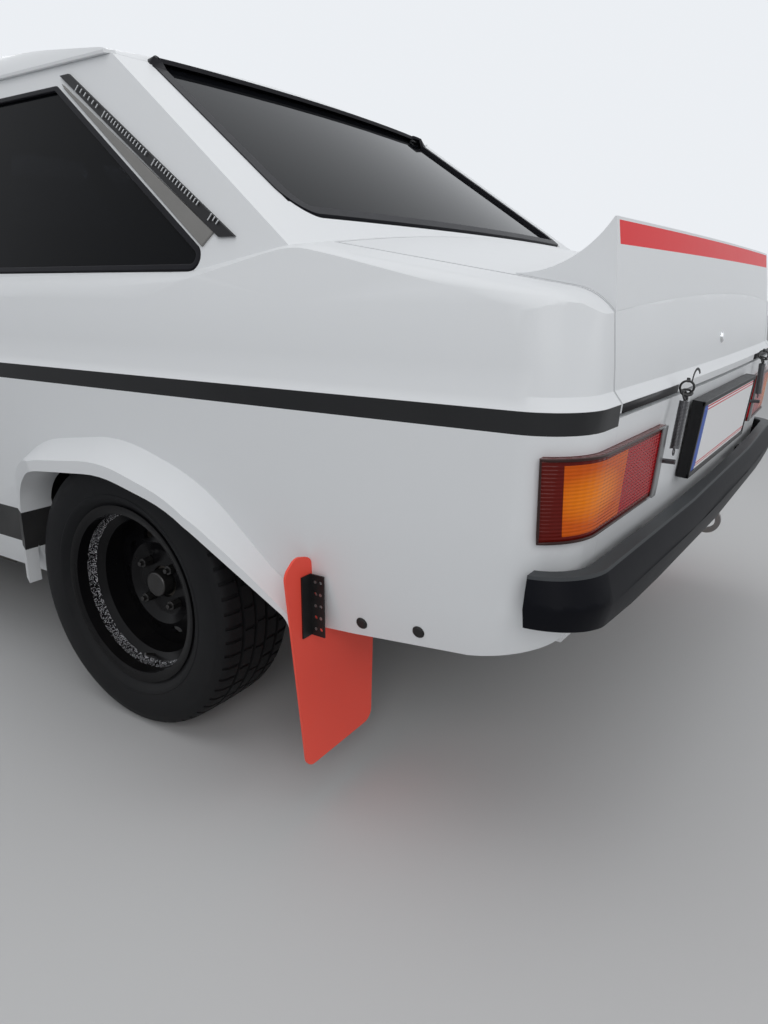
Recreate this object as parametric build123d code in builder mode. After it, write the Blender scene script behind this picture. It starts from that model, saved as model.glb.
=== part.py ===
from build123d import *
import os
from math import atan, cos, degrees, radians, sin, tan

os.makedirs("parts", exist_ok=True)

# Two-door rally saloon. X is the car's left, -Y its front, Z up from the ground, millimetres.
overall_length = 3985
wheelbase = 2407
rear_overhang = 945
waist_half_width = 790
nose_half_width = waist_half_width - 28
tail_half_width = waist_half_width - 12
flare_half_width = waist_half_width + 50
side_reach = waist_half_width + 160
cabin_reach = waist_half_width - 310

# Running gear
tyre_radius = 276
tyre_width = 188
wheel_centre_x = waist_half_width - 100
steer_foot_x = wheel_centre_x - 90
steer_top_x = wheel_centre_x - 185

# Panels and the gaps between them
wing_wall = 26
side_wall = 56
end_wall = 34
lid_wall = 22
pillar_wall = 34
roof_wall = 24
shut_gap = 6
seam = 0.4
seat_gap = 0.3
hinge_pin = 2.4
glass_thickness = 5
glass_depth = 6

# Places along the car
rear_axle_y = overall_length / 2 - rear_overhang
front_axle_y = rear_axle_y - wheelbase
nose_y = front_axle_y - 600
tail_y = rear_axle_y + 905
bonnet_rear_y = front_axle_y + 514
bulkhead_y = front_axle_y + 560
door_front_y = front_axle_y + 680
door_rear_y = rear_axle_y - 615
shelf_y = rear_axle_y + 180
boot_front_y = rear_axle_y + 428

# Heights
sill_bottom_z = 240
floor_z = 222
door_bottom_z = 318
stripe_z = 713
lid_bottom_z = 700
gutter_z = 1284
boot_floor_z = tyre_radius + 116
floor_thickness = 22

# Half widths of the joints between panels
bonnet_half_width = waist_half_width - 135
boot_half_width = waist_half_width - 150
side_joint_x = waist_half_width - 145

# Bodywork below the windows: height, inset of the sides, of the nose and of the tail
BODY_ROWS = [
    (sill_bottom_z, 62, 60, 105),
    (320, 28, 30, 72),
    (420, 8, 12, 28),
    (560, 0, 4, 12),
    (stripe_z, 0, 0, 0),
    (stripe_z + 16, 13, 10, 12),
    (765, 18, 14, 14),
    (800, 25, 20, 17),
    (838, 35, 27, 20),
    (880, 50, 36, 24),
    (1010, 96, 66, 40),
]
plan_corner = 88
nose_bow = 26
tail_bow = 14

# Centre line over bonnet, waist and boot: Y, Z, radius of the bend there
crown_axis_z = -5200
LOWER_LINE = [
    (nose_y - 60, 762, 0),
    (nose_y + 38, 802, 60),
    (front_axle_y + 417, 905, 1500),
    (rear_axle_y + 180, 930, 500),
    (rear_axle_y + 400, 966, 200),
    (tail_y - 20, 886, 90),
    (tail_y + 14, 640, 0),
]
# Round shoulder of the lower body: radius, middle from the centre line, slopes of its flats
shoulder_radius = 60
shoulder_middle = (waist_half_width - 96, -100)
SHOULDER_SLOPES = (23, 38, 54)
# Centre line over windscreen, roof and rear window
roof_front_y = front_axle_y + 1060
roof_high_y = rear_axle_y - 668
roof_bend = 4.42 * (roof_high_y - roof_front_y)
UPPER_LINE = [
    (bulkhead_y - 105, 840, 0),
    (roof_front_y, 1345, 200),
    (roof_high_y, 1389, roof_bend),
    (rear_axle_y - 162, 1325, 120),
    (rear_axle_y + 480, 897, 0),
]
# Half section of the cabin above the waist: foot and head of the side windows' plane
cabin_foot = (waist_half_width - 44, 800)
cabin_head = (waist_half_width - 201, gutter_z)
roof_shoulder = (waist_half_width - 310, 1367)


def export(piece, name):
    piece.part.label = name
    export_step(piece.part, f"parts/{name}.step")


def body_tub(side=0, ends=0, low=0):
    """Closed lower body, drawn in by the given walls and reaching low under the sills."""
    with BuildPart() as tub:
        for height, side_inset, nose_inset, tail_inset in BODY_ROWS:
            inset = side_inset + side
            front = nose_y + nose_inset + ends
            back = tail_y - tail_inset - ends
            drop = low if height == sill_bottom_z else 0
            nose_x = nose_half_width - inset
            mid_x = waist_half_width - inset
            tail_x = tail_half_width - inset
            mid_y = rear_axle_y - 900
            with BuildSketch(Plane.XY.offset(height - drop)) as row:
                with BuildLine():
                    ThreePointArc((nose_x, front + nose_bow), (0, front), (-nose_x, front + nose_bow))
                    ThreePointArc((-nose_x, front + nose_bow), (-mid_x, mid_y), (-tail_x, back - tail_bow))
                    ThreePointArc((-tail_x, back - tail_bow), (0, back), (tail_x, back - tail_bow))
                    ThreePointArc((tail_x, back - tail_bow), (mid_x, mid_y), (nose_x, front + nose_bow))
                make_face()
                fillet(row.vertices(), max(plan_corner - side, 25))
        loft(ruled=True)
    return tub.part


def crowned(line, inset=0, floor=100):
    """Everything under a centre line that is carried across the car on a long radius."""
    reach = degrees(atan(flare_half_width / -crown_axis_z))
    tilt = -radians(reach)
    section = Plane(origin=(0, 0, crown_axis_z), x_dir=(0, 1, 0), z_dir=(cos(tilt), 0, -sin(tilt)))
    with BuildPart() as crown:
        with BuildSketch(section) as outline:
            with BuildLine():
                Polyline(
                    (line[0][0], floor - crown_axis_z),
                    *[(y, z - crown_axis_z) for y, z, bend in line],
                    (line[-1][0], floor - crown_axis_z),
                    close=True,
                )
            make_face()
            for y, z, bend in line:
                if bend:
                    fillet(outline.vertices().sort_by_distance((y, z - crown_axis_z, 0))[0], bend)
            if inset:
                offset(amount=-inset, kind=Kind.INTERSECTION)
        revolve(axis=Axis((0, 0, crown_axis_z), (0, 1, 0)), revolution_arc=2 * reach)
    return crown.part


def shoulder_flat(slope):
    """Everything under one sloping flat of the shoulder, on both sides of the car."""
    lean = radians(slope)
    rise = shoulder_radius / cos(lean) + shoulder_middle[0] * tan(lean) + shoulder_middle[1]
    with BuildPart() as flat:
        with BuildSketch(Plane.YZ) as outline:
            with BuildLine():
                Polyline(
                    (LOWER_LINE[0][0], 0),
                    *[(y, z + rise) for y, z, bend in LOWER_LINE],
                    (LOWER_LINE[-1][0], 0),
                    close=True,
                )
            make_face()
            for y, z, bend in LOWER_LINE:
                if bend:
                    fillet(outline.vertices().sort_by_distance((y, z + rise, 0))[0], bend)
        extrude(amount=side_reach / cos(lean), dir=(cos(lean), 0, -sin(lean)))
        mirror(about=Plane.YZ)
    return flat.part


def cabin_prism(inset=0):
    """The cabin's cross section above the waist, drawn along the car."""
    lean = Vector(cabin_head[0] - cabin_foot[0], cabin_head[1] - cabin_foot[1])
    with BuildPart() as prism:
        with BuildSketch(Plane.XZ.offset(-tail_y)) as section:
            with BuildLine() as half:
                Line((0, cabin_foot[1]), cabin_foot)
                Line(cabin_foot, cabin_head)
                shoulder = TangentArc(cabin_head, roof_shoulder, tangent=lean)
                Line(shoulder @ 1, (0, roof_shoulder[1] + 40))
                mirror(about=Plane.YZ)
            make_face()
            if inset:
                offset(amount=-inset, kind=Kind.INTERSECTION)
        extrude(amount=tail_y - nose_y)
    return prism.part


def across(outline, low_x, high_x, corner=0, grow=0):
    """Slab along X whose outline is given in Y and Z."""
    with BuildPart() as slab:
        with BuildSketch(Plane.YZ.offset(low_x)) as face:
            with BuildLine():
                Polyline(*outline, close=True)
            make_face()
            if corner:
                fillet(face.vertices(), corner)
            if grow:
                offset(amount=grow, kind=Kind.INTERSECTION)
        extrude(amount=high_x - low_x)
    return slab.part


def along(outline, low_y, high_y, corner=0, grow=0):
    """Slab along Y whose outline is given in X and Z."""
    with BuildPart() as slab:
        with BuildSketch(Plane.XZ.offset(-high_y)) as face:
            with BuildLine():
                Polyline(*outline, close=True)
            make_face()
            if corner:
                fillet(face.vertices(), corner)
            if grow:
                offset(amount=grow, kind=Kind.INTERSECTION)
        extrude(amount=high_y - low_y)
    return slab.part


def block(x0, x1, y0, y1, z0, z1):
    """Plain block between two corners."""
    with BuildPart() as solid:
        with Locations(((x0 + x1) / 2, (y0 + y1) / 2, (z0 + z1) / 2)):
            Box(x1 - x0, y1 - y0, z1 - z0)
    return solid.part


def side_block(side, x0, x1, y0, y1, z0, z1):
    """Plain block on one side of the car, with X counted outwards."""
    low_x, high_x = sorted((side * x0, side * x1))
    return block(low_x, high_x, y0, y1, z0, z1)


def trapezoid(foot, head):
    """Outline across the car, the same on both sides, from a lower and an upper corner."""
    return [(-foot[0], foot[1]), foot, head, (-head[0], head[1])]


def roller(x0, x1, y, z, radius):
    """Cylinder along X."""
    with BuildPart() as solid:
        with BuildSketch(Plane.YZ.offset(x0)):
            with Locations((y, z)):
                Circle(radius)
        extrude(amount=x1 - x0)
    return solid.part


def tube(points, radius, bend=None):
    """Round bar along straight runs, with a bend at each corner when asked."""
    with BuildPart() as bar:
        with BuildLine() as path:
            if bend:
                FilletPolyline(*points, radius=bend)
            else:
                Polyline(*points)
        with BuildSketch(Plane(origin=path.wires()[0] @ 0, z_dir=path.wires()[0] % 0)):
            Circle(radius)
        sweep(transition=Transition.ROUND)
    return bar.part


# Outer and inner forms of the whole body
lower_form = body_tub() & crowned(LOWER_LINE)
for slope in SHOULDER_SLOPES:
    lower_form = lower_form & shoulder_flat(slope)
upper_form = cabin_prism() & crowned(UPPER_LINE)
lower_hollow = body_tub(side_wall, end_wall, 60) & crowned(LOWER_LINE, lid_wall)
wing_hollow = body_tub(wing_wall, end_wall, 60) & crowned(LOWER_LINE, lid_wall)
upper_hollow = cabin_prism(pillar_wall) & crowned(UPPER_LINE, roof_wall)
body_form = lower_form + upper_form
cabin_hollow = lower_hollow + upper_hollow

# Windscreen and rear window: X, Z outlines of the openings
screen_top_z = 1296
screen_head_x = cabin_head[0] - 83
SCREEN = trapezoid((cabin_foot[0] - 130, 925), (screen_head_x, screen_top_z))
BACKLIGHT = trapezoid((cabin_foot[0] - 148, 974), (screen_head_x, screen_top_z - 6))
screen_corner = 55
screen_front_y = bulkhead_y - 300
screen_back_y = front_axle_y + 1360
screen_cut = along(SCREEN, screen_front_y, screen_back_y, screen_corner)
backlight_corner = 36
backlight_front_y = rear_axle_y - 450
backlight_cut = along(BACKLIGHT, backlight_front_y, tail_y + 50, backlight_corner)

# Side openings: Y, Z outlines
DOOR = [
    (door_front_y, door_bottom_z),
    (door_front_y, 902),
    (front_axle_y + 1092, 1262),
    (door_rear_y - 22, 1262),
    (door_rear_y, 880),
    (door_rear_y, door_bottom_z),
]
DOOR_WINDOW = [
    (door_front_y + 92, 893),
    (front_axle_y + 1112, 1236),
    (door_rear_y - 66, 1236),
    (door_rear_y - 46, 893),
]
QUARTER_WINDOW = [
    (door_rear_y + 30, 884),
    (door_rear_y + 12, 1244),
    (rear_axle_y - 300, 1244),
    (rear_axle_y + 245, 884),
]
door_corner = 40
window_corner = 22

# Boundary in X and Z between the roof, the windows' middle and the side of the car
SIDE_ZONE = [
    (side_joint_x, 100),
    (side_reach, 100),
    (side_reach, gutter_z),
    (cabin_head[0] - 79, gutter_z),
    (side_joint_x - 45, 962),
    (side_joint_x, 900),
]


# Wheel arches: Y and Z of the opening about the axle, radius of each corner, spread of the flare there
REAR_ARCH = [
    (-306, -140, 0, 45),
    (-300, 176, 110, 45),
    (-190, 240, 200, 70),
    (40, 262, 300, 80),
    (220, 224, 300, 60),
    (446, 69, 40, 12),
    (446, -140, 0, 12),
]
FRONT_ARCH = [
    (-330, -140, 0, 40),
    (-306, 130, 150, 50),
    (-150, 304, 160, 76),
    (150, 304, 160, 76),
    (306, 130, 150, 50),
    (330, -140, 0, 40),
]
# Plan of each flare's outer face: Y about the axle, X
flare_base_x = flare_half_width - 140
REAR_FLARE_PLAN = [
    (-420, flare_base_x),
    (-350, flare_half_width - 66),
    (-300, flare_half_width - 44),
    (-180, flare_half_width),
    (250, flare_half_width),
    (446, flare_half_width - 34),
    (500, flare_base_x),
]
FRONT_FLARE_PLAN = [
    (-470, flare_base_x),
    (-390, flare_half_width - 66),
    (-200, flare_half_width),
    (200, flare_half_width),
    (390, flare_half_width - 66),
    (470, flare_base_x),
]
flare_lip_share = 0.3
flare_root_x = waist_half_width - 26
wheelhouse_radius = tyre_radius + 32
wheelhouse_outer_x = wheel_centre_x + 109
wheelhouse_inner_x = wheel_centre_x - 154
house_wall = 10


def grown(shape, share):
    """Outline of an arch moved outwards by a share of its spread, its corners rounded to match."""
    moved = []
    for before, corner, after in zip(shape, shape[1:], shape[2:]):
        sides = []
        for start, stop in ((before, corner), (corner, after)):
            run = Vector(stop[0] - start[0], stop[1] - start[1]).normalized()
            sides.append(Vector(-run.Y, run.X))
        spread = corner[3] * share
        mitre = (sides[0] + sides[1]) * (spread / (1 + sides[0].dot(sides[1])))
        moved.append((corner[0] + mitre.X, corner[1] + mitre.Y, corner[2] + spread))
    first = (shape[0][0] - shape[0][3] * share, shape[0][1], 0)
    last = (shape[-1][0] + shape[-1][3] * share, shape[-1][1], 0)
    return [first, *moved, last]


def arch_slab(shape, axle_y, low_x, high_x, near_share=0, far_share=0):
    """Arch outline carried along X, widening or narrowing on the way."""
    with BuildPart() as slab:
        for x, share in ((low_x, near_share), (high_x, far_share)):
            outline = grown(shape, share)
            points = [(axle_y + y, tyre_radius + z) for y, z, bend in outline]
            with BuildSketch(Plane.YZ.offset(x)):
                with BuildLine():
                    FilletPolyline(*points, radius=[bend for y, z, bend in outline[1:-1]])
                    Line(points[-1], points[0])
                make_face()
        loft(ruled=True)
    return slab.part


def flare(shape, plan, axle_y):
    """Flared lip that swells out of the panel round an arch and runs out at both feet."""
    with BuildPart() as lip:
        add(arch_slab(shape, axle_y, flare_root_x, flare_half_width, 1, flare_lip_share))
        with BuildSketch(Plane.XY.offset(sill_bottom_z)):
            with BuildLine():
                Polyline(*[(x, axle_y + y) for y, x in plan], close=True)
            make_face()
        extrude(amount=700 - sill_bottom_z, mode=Mode.INTERSECT)
    return lip.part


# Shell of the whole cabin body, from which its panels are cut
shell = body_form - cabin_hollow
wing_shell = lower_form - wing_hollow
top_skin = lower_form - crowned(LOWER_LINE, lid_wall)
door_aperture = across(DOOR, cabin_reach, side_reach, door_corner, shut_gap)
door_hinge_x = waist_half_width - 6.5
door_hinge_y = door_front_y - shut_gap / 2
DOOR_HINGES = ((568, 598), (664, 694))
wheelhouse = roller(wheelhouse_inner_x, wheelhouse_outer_x, rear_axle_y, tyre_radius, wheelhouse_radius)
front_zone = block(0, side_reach, nose_y - 100, door_front_y - shut_gap, 100, 1000)

# Foot of the windscreen pillar, which the wing is cut round
pillar_foot_x = waist_half_width - 68
pillar_foot = block(cabin_reach, pillar_foot_x, bulkhead_y + 10, door_front_y, 800, 1000)

# Foot of the door pillar, joined to the front end of the sill
sill_inner_x = waist_half_width - 140
sill_outer_x = waist_half_width - 102

# Tail lamps wrap round the corners of the body
lamp_inner_x = 434
lamp_front_y = rear_axle_y + 840
lamp_low_z, lamp_high_z = 543, 657
lamp_proud = 9
lamp_depth = 26


def lamp_block(grow=0):
    """Space of one tail lamp, grown by a fitting gap."""
    low_z, high_z = lamp_low_z - grow, lamp_high_z + grow
    return block(lamp_inner_x - grow, side_reach, lamp_front_y - grow, tail_y + 100, low_z, high_z)


# Lower edge of the quarter panel behind the arch
QUARTER_EDGE = [
    (rear_axle_y + 380, 0),
    (rear_axle_y + 380, 300),
    (rear_axle_y + 430, 322),
    (rear_axle_y + 535, 330),
    (rear_axle_y + 740, 351),
    (tail_y + 50, 398),
    (tail_y + 50, 0),
]
tail_low_z = 352

with BuildPart() as body_side_left:
    add(shell)
    add(along(SIDE_ZONE, nose_y - 100, tail_y + 100), mode=Mode.INTERSECT)
    add((front_zone - pillar_foot) & lower_form, mode=Mode.SUBTRACT)
    add(block(sill_inner_x, sill_outer_x, bulkhead_y + 30, door_front_y + 80, sill_bottom_z, 310))
    add(block(sill_inner_x, pillar_foot_x, bulkhead_y + 30, door_front_y - shut_gap, 330, 850))
    add(block(sill_inner_x, sill_outer_x, bulkhead_y + 30, door_front_y - shut_gap, 300, 340))
    add(flare(REAR_ARCH, REAR_FLARE_PLAN, rear_axle_y))
    add(arch_slab(REAR_ARCH, rear_axle_y, cabin_reach, side_reach), mode=Mode.SUBTRACT)
    add(wheelhouse, mode=Mode.SUBTRACT)
    add(door_aperture, mode=Mode.SUBTRACT)
    add(across(QUARTER_WINDOW, cabin_reach, side_reach, window_corner), mode=Mode.SUBTRACT)
    add(across(QUARTER_EDGE, cabin_reach, side_reach), mode=Mode.SUBTRACT)
    add(screen_cut, mode=Mode.SUBTRACT)
    add(backlight_cut, mode=Mode.SUBTRACT)
    add(block(0, boot_half_width + shut_gap, boot_front_y - shut_gap, tail_y + 100,
              lid_bottom_z - shut_gap, 1100), mode=Mode.SUBTRACT)
    add(lamp_block(seam), mode=Mode.SUBTRACT)
    for low_z, high_z in DOOR_HINGES:
        add(block(door_hinge_x - 84, door_hinge_x, door_front_y - shut_gap, door_hinge_y - 1, low_z, high_z))
        with BuildSketch(Plane.XY.offset(low_z)):
            with Locations((door_hinge_x, door_hinge_y)):
                Circle(hinge_pin)
        extrude(amount=high_z - low_z)
export(body_side_left, "body_side_left")
with BuildPart() as body_side_right:
    add(mirror(body_side_left.part, about=Plane.YZ))
export(body_side_right, "body_side_right")

with BuildPart() as roof_panel:
    add(shell)
    add(block(-side_reach, side_reach, nose_y, tail_y, gutter_z + seam, 1500), mode=Mode.INTERSECT)
    add(screen_cut, mode=Mode.SUBTRACT)
    add(backlight_cut, mode=Mode.SUBTRACT)
    rail_x = cabin_head[0]
    rail_front_y, rail_back_y = roof_front_y - 45, rear_axle_y - 112
    for side in (1, -1):
        add(side_block(side, rail_x - 8, rail_x + 9, rail_front_y, rail_back_y, gutter_z + seam, gutter_z + 6))
export(roof_panel, "roof_panel")

# Front wings with their arches
with BuildPart() as front_wing_left:
    add(wing_shell)
    add(block(bonnet_half_width, side_reach, nose_y - 100, door_front_y - shut_gap, sill_bottom_z, 1000),
        mode=Mode.INTERSECT)
    add(flare(FRONT_ARCH, FRONT_FLARE_PLAN, front_axle_y))
    add(arch_slab(FRONT_ARCH, front_axle_y, cabin_reach, side_reach), mode=Mode.SUBTRACT)
    add(roller(steer_foot_x, wheelhouse_outer_x + 12, front_axle_y, tyre_radius, wheelhouse_radius),
        mode=Mode.SUBTRACT)
    add(block(cabin_reach, pillar_foot_x + seam, bulkhead_y + 10 - seam, door_front_y, 800, 1000),
        mode=Mode.SUBTRACT)
with BuildPart() as front_wings:
    add(front_wing_left.part)
    mirror(about=Plane.YZ)
export(front_wings, "front_wings")

# Short hinge barrels near the middle of a lid's edge, just under the crowned skin
HINGE_SPANS = ((-130, -70), (70, 130))
bonnet_hinge = (bonnet_rear_y + shut_gap / 2, 902.5)
boot_hinge = (boot_front_y - shut_gap / 2, 957)


def hinge_barrels(place, leaf_y):
    """Pins of one lid with the leaves that carry them."""
    with BuildPart() as barrels:
        for low_x, high_x in HINGE_SPANS:
            add(roller(low_x, high_x, *place, hinge_pin))
            add(block(low_x, high_x, *sorted((place[0], leaf_y)), place[1] - 8, place[1] - 1))
    return barrels.part


# Bonnet, hinged at its rear edge
bonnet_front_z = 786
with BuildPart() as bonnet:
    add(top_skin)
    add(block(-bonnet_half_width + shut_gap, bonnet_half_width - shut_gap, nose_y - 100, bonnet_rear_y,
              bonnet_front_z - 30, 1000), mode=Mode.INTERSECT)
export(bonnet, "bonnet")

# Nose panel under the bonnet, with its openings for lamps and grille, and the inner wings
headlamp_x = 548
headlamp_z = 640
headlamp_radius = 92
grille_half_width = 432
grille_low_z, grille_high_z = 560, 722
nose_low_z = 338
indicator_x = 520


def indicator_block(side, grow=0):
    """Space of a front indicator under the bumper, grown by a fitting gap."""
    return block(side * indicator_x - 58 - grow, side * indicator_x + 58 + grow, nose_y + 12, nose_y + 58,
                 348 - grow, 388 + grow)


inner_wing_x = 426
inner_wing_wall = 12
tower_half = 100
tower_outer_x = wheel_centre_x - tyre_width / 2 - 2
tower_wall = 6
tower_top_z = 776
crossmember_top_z = 236
with BuildPart() as front_panel:
    add(wing_shell)
    add(block(-bonnet_half_width + seam, bonnet_half_width - seam, nose_y - 100, nose_y + 90, nose_low_z,
              bonnet_front_z - 36), mode=Mode.INTERSECT)
    add(block(-grille_half_width, grille_half_width, nose_y - 50, nose_y + 100, grille_low_z, grille_high_z),
        mode=Mode.SUBTRACT)
    add(block(-300, 300, nose_y - 50, nose_y + 100, 352, 388), mode=Mode.SUBTRACT)
    add(indicator_block(1, seam), mode=Mode.SUBTRACT)
    add(indicator_block(-1, seam), mode=Mode.SUBTRACT)
    with BuildSketch(Plane.XZ.offset(-nose_y - 200)):
        with Locations((headlamp_x, headlamp_z), (-headlamp_x, headlamp_z)):
            Circle(headlamp_radius + 1)
    extrude(amount=400, mode=Mode.SUBTRACT)
    for side in (1, -1):
        add(side_block(side, inner_wing_x, inner_wing_x + inner_wing_wall, nose_y + 38, bulkhead_y - seat_gap,
                       crossmember_top_z + seat_gap, 746))
        front_y, back_y = front_axle_y - tower_half, front_axle_y + tower_half
        add(side_block(side, inner_wing_x, tower_outer_x, front_y, back_y, 600, tower_top_z))
        add(side_block(side, inner_wing_x + inner_wing_wall, tower_outer_x - tower_wall, front_y + tower_wall,
                       back_y - tower_wall, 500, tower_top_z - tower_wall), mode=Mode.SUBTRACT)
export(front_panel, "front_panel")

grille_frame = 12
grille_slats = 7
with BuildPart() as grille:
    add(block(-grille_half_width + seam, grille_half_width - seam, nose_y + 8, nose_y + 34,
              grille_low_z + seam, grille_high_z - seam))
    add(block(-grille_half_width + grille_frame, grille_half_width - grille_frame, nose_y - 20, nose_y + 60,
              grille_low_z + grille_frame, grille_high_z - grille_frame), mode=Mode.SUBTRACT)
    slat_pitch = (grille_high_z - grille_low_z - 2 * grille_frame) / (grille_slats + 1)
    for slat in range(grille_slats):
        slat_z = grille_low_z + grille_frame + (slat + 1) * slat_pitch
        add(block(-grille_half_width + 6, grille_half_width - 6, nose_y + 10, nose_y + 30,
                  slat_z - 2, slat_z + 2))
    for bar_x in (-216, 0, 216):
        add(block(bar_x - 3, bar_x + 3, nose_y + 12, nose_y + 32, grille_low_z + 6, grille_high_z - 6))
export(grille, "grille")

# Half outline of a headlamp: Y behind the nose, radius
HEADLAMP = [
    (60, 0), (60, 60), (34, headlamp_radius), (0, headlamp_radius),
    (0, headlamp_radius - 8), (-8, 56), (-12, 24), (-12, 0),
]
with BuildPart() as headlamp:
    with BuildSketch(Plane.YZ):
        with BuildLine():
            Polyline(*[(nose_y + y, radius) for y, radius in HEADLAMP], close=True)
        make_face()
    revolve(axis=Axis.Y)
with BuildPart() as front_lamps:
    for side in (1, -1):
        add(Pos(side * headlamp_x, 0, headlamp_z) * headlamp.part)
        add(indicator_block(side))
export(front_lamps, "front_lamps")

# Scuttle ahead of the windscreen, and the bulkhead behind the engine
bulkhead_wall = 16
tunnel_half = 118
tunnel_top_z = 404
tunnel_wall = 12
tunnel_space = block(-tunnel_half + tunnel_wall, tunnel_half - tunnel_wall, bulkhead_y - 10, rear_axle_y - 450,
                     0, tunnel_top_z - tunnel_wall)
middle_half = side_joint_x - seam
side_zones = along(SIDE_ZONE, nose_y - 100, tail_y + 100)
side_zones = side_zones + mirror(side_zones, about=Plane.YZ)
with BuildPart() as bulkhead:
    add(shell)
    add(block(-middle_half, middle_half, bonnet_rear_y + shut_gap, bulkhead_y + 160, 846, 1000),
        mode=Mode.INTERSECT)
    add(side_zones, mode=Mode.SUBTRACT)
    add(screen_cut, mode=Mode.SUBTRACT)
    add(block(-middle_half, middle_half, bulkhead_y, bulkhead_y + bulkhead_wall,
              floor_z - floor_thickness, 868))
    add(tunnel_space, mode=Mode.SUBTRACT)
    add(hinge_barrels(bonnet_hinge, bonnet_rear_y + shut_gap))
export(bulkhead, "bulkhead")

# Boot lid with its turned-down rear face, hinged at its front edge
with BuildPart() as boot_lid:
    add(lower_form - lower_hollow)
    add(block(-boot_half_width, boot_half_width, boot_front_y, tail_y + 100, lid_bottom_z, 1100),
        mode=Mode.INTERSECT)
export(boot_lid, "boot_lid")

# One-piece ducktail spoiler: hollow curved in front, its back flush with the lid's rear face
spoiler_top_z = 949
spoiler_low_z = 740
spoiler_ends = trapezoid((boot_half_width + 12, spoiler_low_z), (boot_half_width - 16, spoiler_top_z))
SPOILER_FRONT = [(tail_y - 176, 880), (tail_y - 100, 898), (tail_y - 46, spoiler_top_z)]
with BuildPart() as rear_spoiler:
    with BuildSketch(Plane.YZ.offset(-tail_half_width)):
        with BuildLine():
            ThreePointArc(*SPOILER_FRONT)
            Polyline(SPOILER_FRONT[2], (tail_y + 40, spoiler_top_z), (tail_y + 40, spoiler_low_z),
                     (SPOILER_FRONT[0][0], spoiler_low_z), SPOILER_FRONT[0])
        make_face()
    extrude(amount=2 * tail_half_width)
    add(along(spoiler_ends, tail_y - 200, tail_y + 60), mode=Mode.INTERSECT)
    add(body_tub(), mode=Mode.INTERSECT)
    add(crowned(LOWER_LINE, -seat_gap), mode=Mode.SUBTRACT)
export(rear_spoiler, "rear_spoiler")

# Tail panel below the boot lid
with BuildPart() as rear_panel:
    add(lower_form - lower_hollow)
    add(block(-middle_half, middle_half, tail_y - 90, tail_y + 100, tail_low_z, lid_bottom_z - shut_gap),
        mode=Mode.INTERSECT)
    add(lamp_block(seam), mode=Mode.SUBTRACT)
    add(mirror(lamp_block(seam), about=Plane.YZ), mode=Mode.SUBTRACT)
export(rear_panel, "rear_panel")

with BuildPart() as tail_lamp_left:
    add(body_tub(-lamp_proud, -lamp_proud))
    add(body_tub(lamp_depth, lamp_depth), mode=Mode.SUBTRACT)
    add(lamp_block(), mode=Mode.INTERSECT)
with BuildPart() as tail_lamps:
    add(tail_lamp_left.part)
    mirror(about=Plane.YZ)
export(tail_lamps, "tail_lamps")

# Shelf under the rear window and the panel between cabin and boot
with BuildPart() as rear_shelf:
    add(shell)
    add(block(-middle_half, middle_half, shelf_y + 60, boot_front_y - shut_gap, 880, 1000), mode=Mode.INTERSECT)
    add(side_zones, mode=Mode.SUBTRACT)
    add(backlight_cut, mode=Mode.SUBTRACT)
    add(block(-500, 500, shelf_y, shelf_y + 14, boot_floor_z + floor_thickness + seam, 922))
    add(block(-600, 600, shelf_y, boot_front_y - 30, 914, 928))
    add(hinge_barrels(boot_hinge, boot_front_y - shut_gap))
export(rear_shelf, "rear_shelf")

# Floor with its tunnel, kick-up over the axle and rear wheelhouses
floor_front_y = bulkhead_y + bulkhead_wall + seam
FLOOR = [
    (floor_front_y, floor_z - floor_thickness),
    (rear_axle_y - 560, floor_z - floor_thickness),
    (rear_axle_y - 460, boot_floor_z),
    (tail_y - 36, boot_floor_z),
    (tail_y - 36, boot_floor_z + floor_thickness),
    (rear_axle_y - 476, boot_floor_z + floor_thickness),
    (rear_axle_y - 576, floor_z),
    (floor_front_y, floor_z),
]
house_low_z = boot_floor_z - 50
with BuildPart() as floor_pan:
    add(across(FLOOR, -waist_half_width, waist_half_width))
    add(block(-tunnel_half, tunnel_half, floor_front_y, rear_axle_y - 490,
              floor_z - floor_thickness, tunnel_top_z))
    add(tunnel_space, mode=Mode.SUBTRACT)
    add(lower_hollow, mode=Mode.INTERSECT)
    for side in (1, -1):
        outer = sorted((side * (wheelhouse_inner_x - house_wall), side * (waist_half_width - 92)))
        inner = sorted((side * wheelhouse_inner_x, side * waist_half_width))
        add(roller(*outer, rear_axle_y, tyre_radius, wheelhouse_radius + house_wall))
        add(roller(*inner, rear_axle_y, tyre_radius, wheelhouse_radius), mode=Mode.SUBTRACT)
        add(side_block(side, wheelhouse_inner_x - house_wall - 1, waist_half_width, rear_axle_y - 330,
                       rear_axle_y + 330, -100, house_low_z), mode=Mode.SUBTRACT)
export(floor_pan, "floor_pan")

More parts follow.
